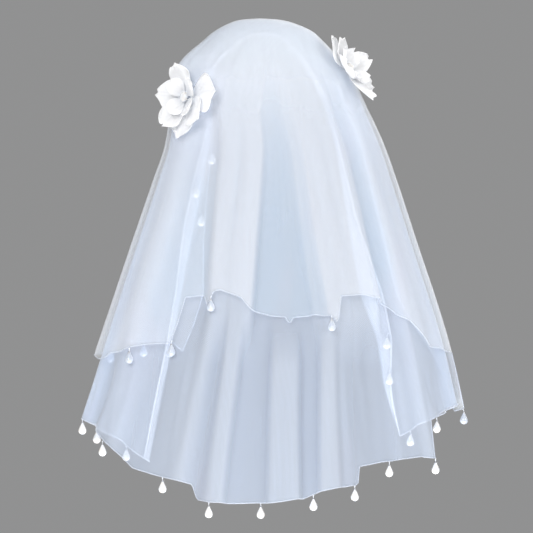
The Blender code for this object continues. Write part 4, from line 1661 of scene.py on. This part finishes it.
@dataclass
class PearlDrops:
    """The pearl drops: each a nacre teardrop under a bead cap, on a knotted thread."""

    length: float = 14.0
    radius: float = 4.7
    slimming: float = 0.58
    slimming_power: float = 1.2
    stretch_power: float = 1.25
    segments: int = 28
    rings: int = 18
    cap_radius: float = 1.9
    cap_top_radius: float = 0.7
    cap_height: float = 1.9
    cap_overlap: float = 0.45
    cap_bevel: float = 0.22
    thread_radius: float = 0.42
    foot_gap: float = 0.2
    knot_radius: float = 0.8
    knot_flatness: float = 0.7
    knot_below: float = 0.5
    end_reach: float = 0.1
    turn: float = 2.4

    def teardrop(self, pearl: bpy.types.Material) -> bpy.types.Object:
        """Makes a pearl that narrows to its top, with its lowest point at the origin.

        Args:
            pearl: the nacre.

        Returns:
            The pearl.
        """
        deselect_all()
        radius = self.radius * MM
        bpy.ops.mesh.primitive_uv_sphere_add(
            segments=self.segments, ring_count=self.rings, radius=radius, location=(0, 0, radius))
        drop = bpy.context.active_object
        settle(drop)
        rise = (self.length - 2 * self.radius) * MM
        for vert in drop.data.vertices:
            share = max(0.0, (vert.co.z - radius) / radius)
            slim = 1 - self.slimming * share ** self.slimming_power
            vert.co.x *= slim
            vert.co.y *= slim
            vert.co.z += rise * share ** self.stretch_power
        drop.data.shade_smooth()
        drop.data.materials.append(pearl)
        return drop

    def cap(self, silver: bpy.types.Material) -> bpy.types.Object:
        """Makes a small bead cap with soft edges, over the top of a pearl.

        Args:
            silver: the cap's metal.

        Returns:
            The cap.
        """
        deselect_all()
        top = self.length * MM
        bpy.ops.mesh.primitive_cone_add(
            vertices=18, radius1=self.cap_radius * MM, radius2=self.cap_top_radius * MM,
            depth=self.cap_height * MM, location=(0, 0, top - self.cap_overlap * MM))
        cap = bpy.context.active_object
        with editing():
            bpy.ops.mesh.bevel(offset=self.cap_bevel * MM, segments=2)
        settle(cap)
        cap.data.shade_smooth()
        cap.data.materials.append(silver)
        return cap

    def thread(self, length: float, lean: Vector, silk: bpy.types.Material) -> bpy.types.Object:
        """The thread from a pearl's cap up to its seat, with a knot at its top.

        Args:
            length: how far the seat is above the pearl's lowest point, in metres.
            lean: the seat's level shift from the pearl's axis.
            silk: the thread's material.

        Returns:
            The thread, with the knot.
        """
        deselect_all()
        foot = (self.length + self.foot_gap) * MM
        rise = length - foot
        bpy.ops.mesh.primitive_cylinder_add(vertices=10, radius=self.thread_radius * MM, depth=rise,
                                            location=(0, 0, foot + rise / 2))
        cord = bpy.context.active_object
        with editing():
            bpy.ops.mesh.subdivide(number_cuts=3)
        settle(cord)
        for vert in cord.data.vertices:
            share = (vert.co.z - foot) / rise
            vert.co.x += lean.x * share * share
            vert.co.y += lean.y * share * share
        bpy.ops.mesh.primitive_ico_sphere_add(
            subdivisions=2, radius=self.knot_radius * MM,
            location=(lean.x, lean.y, length - self.knot_below * MM), scale=(1, 1, self.knot_flatness))
        knot = bpy.context.active_object
        settle(knot)
        both = join("thread", [cord, knot])
        both.data.shade_smooth()
        both.data.materials.append(silk)
        return both

    def build(self, pearl: bpy.types.Material, pale_pearl: bpy.types.Material, silver: bpy.types.Material,
              silk: bpy.types.Material) -> dict[str, bpy.types.Object]:
        """Hangs a drop in the place of each of the frame's drops.

        Args:
            pearl: the nacre.
            pale_pearl: the bluer nacre of the short tier's drops.
            silver: the cap's metal.
            silk: the thread's material.

        Returns:
            The drops, by their nodes' names.
        """
        pattern = join("drop", [self.teardrop(pearl), self.cap(silver)])
        made = {}
        for number, name in enumerate(sorted(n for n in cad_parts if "_drop_" in n)):
            verts = [v.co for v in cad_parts[name].data.vertices]
            low, high = min(v.z for v in verts), max(v.z for v in verts)
            foot = mean_place([v for v in verts if v.z < low + self.end_reach * MM])
            seat = mean_place([v for v in verts if v.z > high - self.end_reach * MM])
            copy = pattern.copy()
            copy.data = pattern.data.copy()
            bpy.context.scene.collection.objects.link(copy)
            copy.data.transform(Matrix.Rotation(number * self.turn, 4, "Z"))
            if name.startswith("short"):
                copy.data.materials[0] = pale_pearl
            thread = self.thread(high - low, seat - foot, silk)
            piece = join(name + "_pearl", [copy, thread])
            piece.data.transform(Matrix.Translation(foot))
            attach(piece, "root")
            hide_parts(name)
            made[name] = piece
        bpy.data.objects.remove(pattern)
        LOG.info("drops: %d", len(made))
        return made


@dataclass
class HairBand:
    """The padded band, covered with satin, that the veil is sewn to."""

    node: str = "hair_band"
    merge: float = 0.01
    levels: int = 2

    def build(self, satin: bpy.types.Material) -> bpy.types.Object:
        """Rounds a copy of the band's solid into a padded one.

        Args:
            satin: the cover's material.

        Returns:
            The piece.
        """
        deselect_all()
        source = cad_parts[self.node]
        band = bpy.data.objects.new("satin_band", source.data.copy())
        bpy.context.scene.collection.objects.link(band)
        activate(band)
        with editing():
            bpy.ops.mesh.remove_doubles(threshold=self.merge * MM)
            bpy.ops.mesh.tris_convert_to_quads()
        rounding = band.modifiers.new("Padding", "SUBSURF")
        rounding.levels = rounding.render_levels = self.levels
        apply_all(band)
        band.data.shade_smooth()
        band.data.materials.clear()
        band.data.materials.append(satin)
        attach(band, "root")
        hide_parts(self.node)
        LOG.info("hair band: %d faces", len(band.data.polygons))
        return band


class Lamp(NamedTuple):
    """A square soft light: where it stands and its side, in metres, its power in watts and its colour."""

    name: str
    place: tuple[float, float, float]
    size: float
    power: float
    color: Color


WARM: Color = (1.0, 0.99, 0.985)
PLAIN: Color = (1.0, 1.0, 1.0)
COOL: Color = (0.98, 0.99, 1.0)
LAMPS = (
    Lamp("key", (-1.2, -3.2, 1.5), 1.8, 92.0, WARM),
    Lamp("fill", (2.4, -2.4, 0.3), 2.2, 37.0, WARM),
    Lamp("top", (0.2, -0.6, 2.2), 1.8, 14.0, PLAIN),
    Lamp("left glow", (-2.6, -0.5, 0.5), 1.6, 10.0, COOL),
    Lamp("right glow", (2.6, -0.3, 0.7), 1.6, 19.0, COOL),
    Lamp("from below", (0.0, -0.4, -1.6), 1.4, 34.0, COOL),
    Lamp("front", (0.9, 3.0, 0.9), 1.8, 46.0, WARM),
)


@dataclass
class Studio:
    """A pale floor that melts into a plain pale backdrop, soft lights and the camera."""

    backdrop: Color = (0.283, 0.284, 0.286)
    floor_dark: Color = (0.50, 0.505, 0.51)
    floor_light: Color = (0.53, 0.53, 0.535)
    floor_below: float = 1.25
    floor_radius: float = 40.0
    fade_start: float = 2.5
    fade_end: float = 6.0
    image_pixels: int = 533
    pixel: float = 1.162
    middle: tuple[float, float] = (266.5, 266.5)
    crown_pixel: tuple[float, float] = (262.0, 18.0)
    distance: float = 20.0
    sensor: float = 36.0
    light_aim: tuple[float, float, float] = (0, 0, -0.25)

    def build_floor(self) -> None:
        """The floor, which takes the backdrop's colour further out."""
        deselect_all()
        bpy.ops.mesh.primitive_circle_add(vertices=96, radius=self.floor_radius, fill_type="NGON",
                                          location=(0, 0, CAD_BOX[0].z - self.floor_below))
        floor = bpy.context.active_object
        floor.name = "floor"
        settle(floor)
        graph = Graph("studio floor")
        place = graph.object_map()
        level = graph.node("VectorMath", {0: place, 1: (1, 1, 0)}, operation="MULTIPLY").outputs[0]
        away = graph.node("VectorMath", {0: level}, operation="LENGTH").outputs["Value"]
        grain = graph.ramp(graph.noise(place, scale=30, detail=3.0), 0.3, 0.7)
        graph.surface(Base_Color=graph.tinted(grain, self.floor_dark, self.floor_light),
                      Roughness=0.85, Specular_IOR_Level=0.1)
        glow = graph.node("Emission", {"Color": (*self.backdrop, 1), "Strength": 1.0})
        mix = graph.node("MixShader", {0: graph.ramp(away, self.fade_start, self.fade_end)})
        graph.feed(mix.inputs[1], graph.shader.outputs[0])
        graph.feed(mix.inputs[2], glow.outputs[0])
        graph.feed(graph.material.node_tree.nodes["Material Output"].inputs[0], mix.outputs[0])
        floor.data.materials.append(graph.material)

    def build_world(self) -> None:
        """The plain backdrop, which is also the soft light from all round."""
        world = bpy.data.worlds.new("backdrop")
        world.use_nodes = True
        glow = world.node_tree.nodes["Background"]
        glow.inputs["Color"].default_value = (*self.backdrop, 1)
        glow.inputs["Strength"].default_value = 1.0
        bpy.context.scene.world = world
        bpy.context.scene.view_settings.view_transform = "Standard"

    def add_lamp(self, lamp: Lamp) -> None:
        """Hangs a light that faces the veil.

        Args:
            lamp: its sizes.
        """
        data = bpy.data.lights.new(lamp.name, "AREA")
        data.size = lamp.size
        data.energy = lamp.power
        data.color = lamp.color
        light = bpy.data.objects.new(lamp.name, data)
        light.location = lamp.place
        aim = Vector(self.light_aim) - Vector(lamp.place)
        light.rotation_euler = aim.to_track_quat("-Z", "Y").to_euler()
        bpy.context.scene.collection.objects.link(light)

    def build_camera(self) -> None:
        """The camera, level behind the veil, framed as in the picture."""
        width = self.image_pixels * self.pixel * MM
        across = (self.middle[0] - self.crown_pixel[0]) * self.pixel * MM
        height = (CROWN - (self.middle[1] - self.crown_pixel[1]) * self.pixel) * MM
        data = bpy.data.cameras.new("camera")
        data.sensor_width = self.sensor
        data.lens = data.sensor_width * self.distance / width
        data.clip_end = 4 * self.distance
        camera = bpy.data.objects.new("camera", data)
        camera.location = (across, -self.distance, height)
        camera.rotation_euler = (math.radians(90), 0, 0)
        bpy.context.scene.collection.objects.link(camera)
        bpy.context.scene.camera = camera

    def build(self) -> None:
        """Makes the floor, the backdrop, the lights and the camera."""
        self.build_floor()
        self.build_world()
        for lamp in LAMPS:
            self.add_lamp(lamp)
        self.build_camera()
        LOG.info("studio: floor, backdrop, %d lights and the camera", len(LAMPS))


MOST_LAYERS = 40           # faces of net that a line of sight may cross


def allow_layers() -> None:
    """Lets light pass through all the layers of sheer net that can lie behind each other."""
    bpy.context.scene.cycles.transparent_max_bounces = MOST_LAYERS


def main() -> None:
    """Dresses the whole veil and sets up the studio."""
    logging.basicConfig(level=logging.INFO, format="%(name)s: %(message)s")
    form = OuterForm()
    pearl, silk = PearlFinish().dress(), ThreadFinish().dress()
    rolled = RolledEdgeFinish().dress()
    # each net's ridge colour is painted lighter and its valley colour is painted shade, darker and bluer,
    # in its folds
    short_net = NetFinish(
        "short tier net",
        ridge=(0.88, 0.905, 0.94), valley=(0.665, 0.785, 0.885), blush=(0.885, 0.88, 0.93),
        thin=0.13, close=0.20, drawn_out=0.50).dress()
    # the long tier is the same net as the short one; its colours are darker and bluer as a whole, as
    # painted shade where it hangs under the short tier
    long_net = NetFinish(
        "long tier net",
        ridge=(0.71, 0.795, 0.935), valley=(0.645, 0.75, 0.925), blush=(0.71, 0.745, 0.90),
        thin=0.255, close=0.32, bunched=0.34).dress()
    pale_pearl = PearlFinish("pale blue pearl", (0.60, 0.64, 0.71), (0.55, 0.61, 0.71)).dress()
    drops = PearlDrops().build(pearl, pale_pearl, SilverFinish().dress(), silk)
    long_tier = TierCloth(
        "long_tier", LONG_EDGES, LONG_HEM, TURN_LINES,
        FoldField(form, SHARED_CREASES + LOWER_CREASES, lower=True), LAYS,
        fall_step=5.6, flat=(1.10, 0.66), flat_area=0.39, corded=True)
    short_tier = TierCloth(
        "short_tier", SHORT_EDGES, SHORT_HEM, (),
        FoldField(form, SHARED_CREASES, lower=False), (Lay(0, 0),),
        fall_step=8.0, flat=(0.92, 0.46), flat_area=0.25)
    long_tier.build(long_net, rolled)
    short_tier.build(short_net, rolled)
    short_tier.declare()
    long_tier.declare()
    HairBand().build(SatinFinish().dress())
    petal_silk = PetalFinish().dress()
    for name, azimuth, drop, petals in FLOWERS:
        SilkFlower(name, azimuth, drop, petals, form).build(petal_silk, pearl)
    Studio().build()
    allow_layers()


if __name__ == "__main__":
    main()
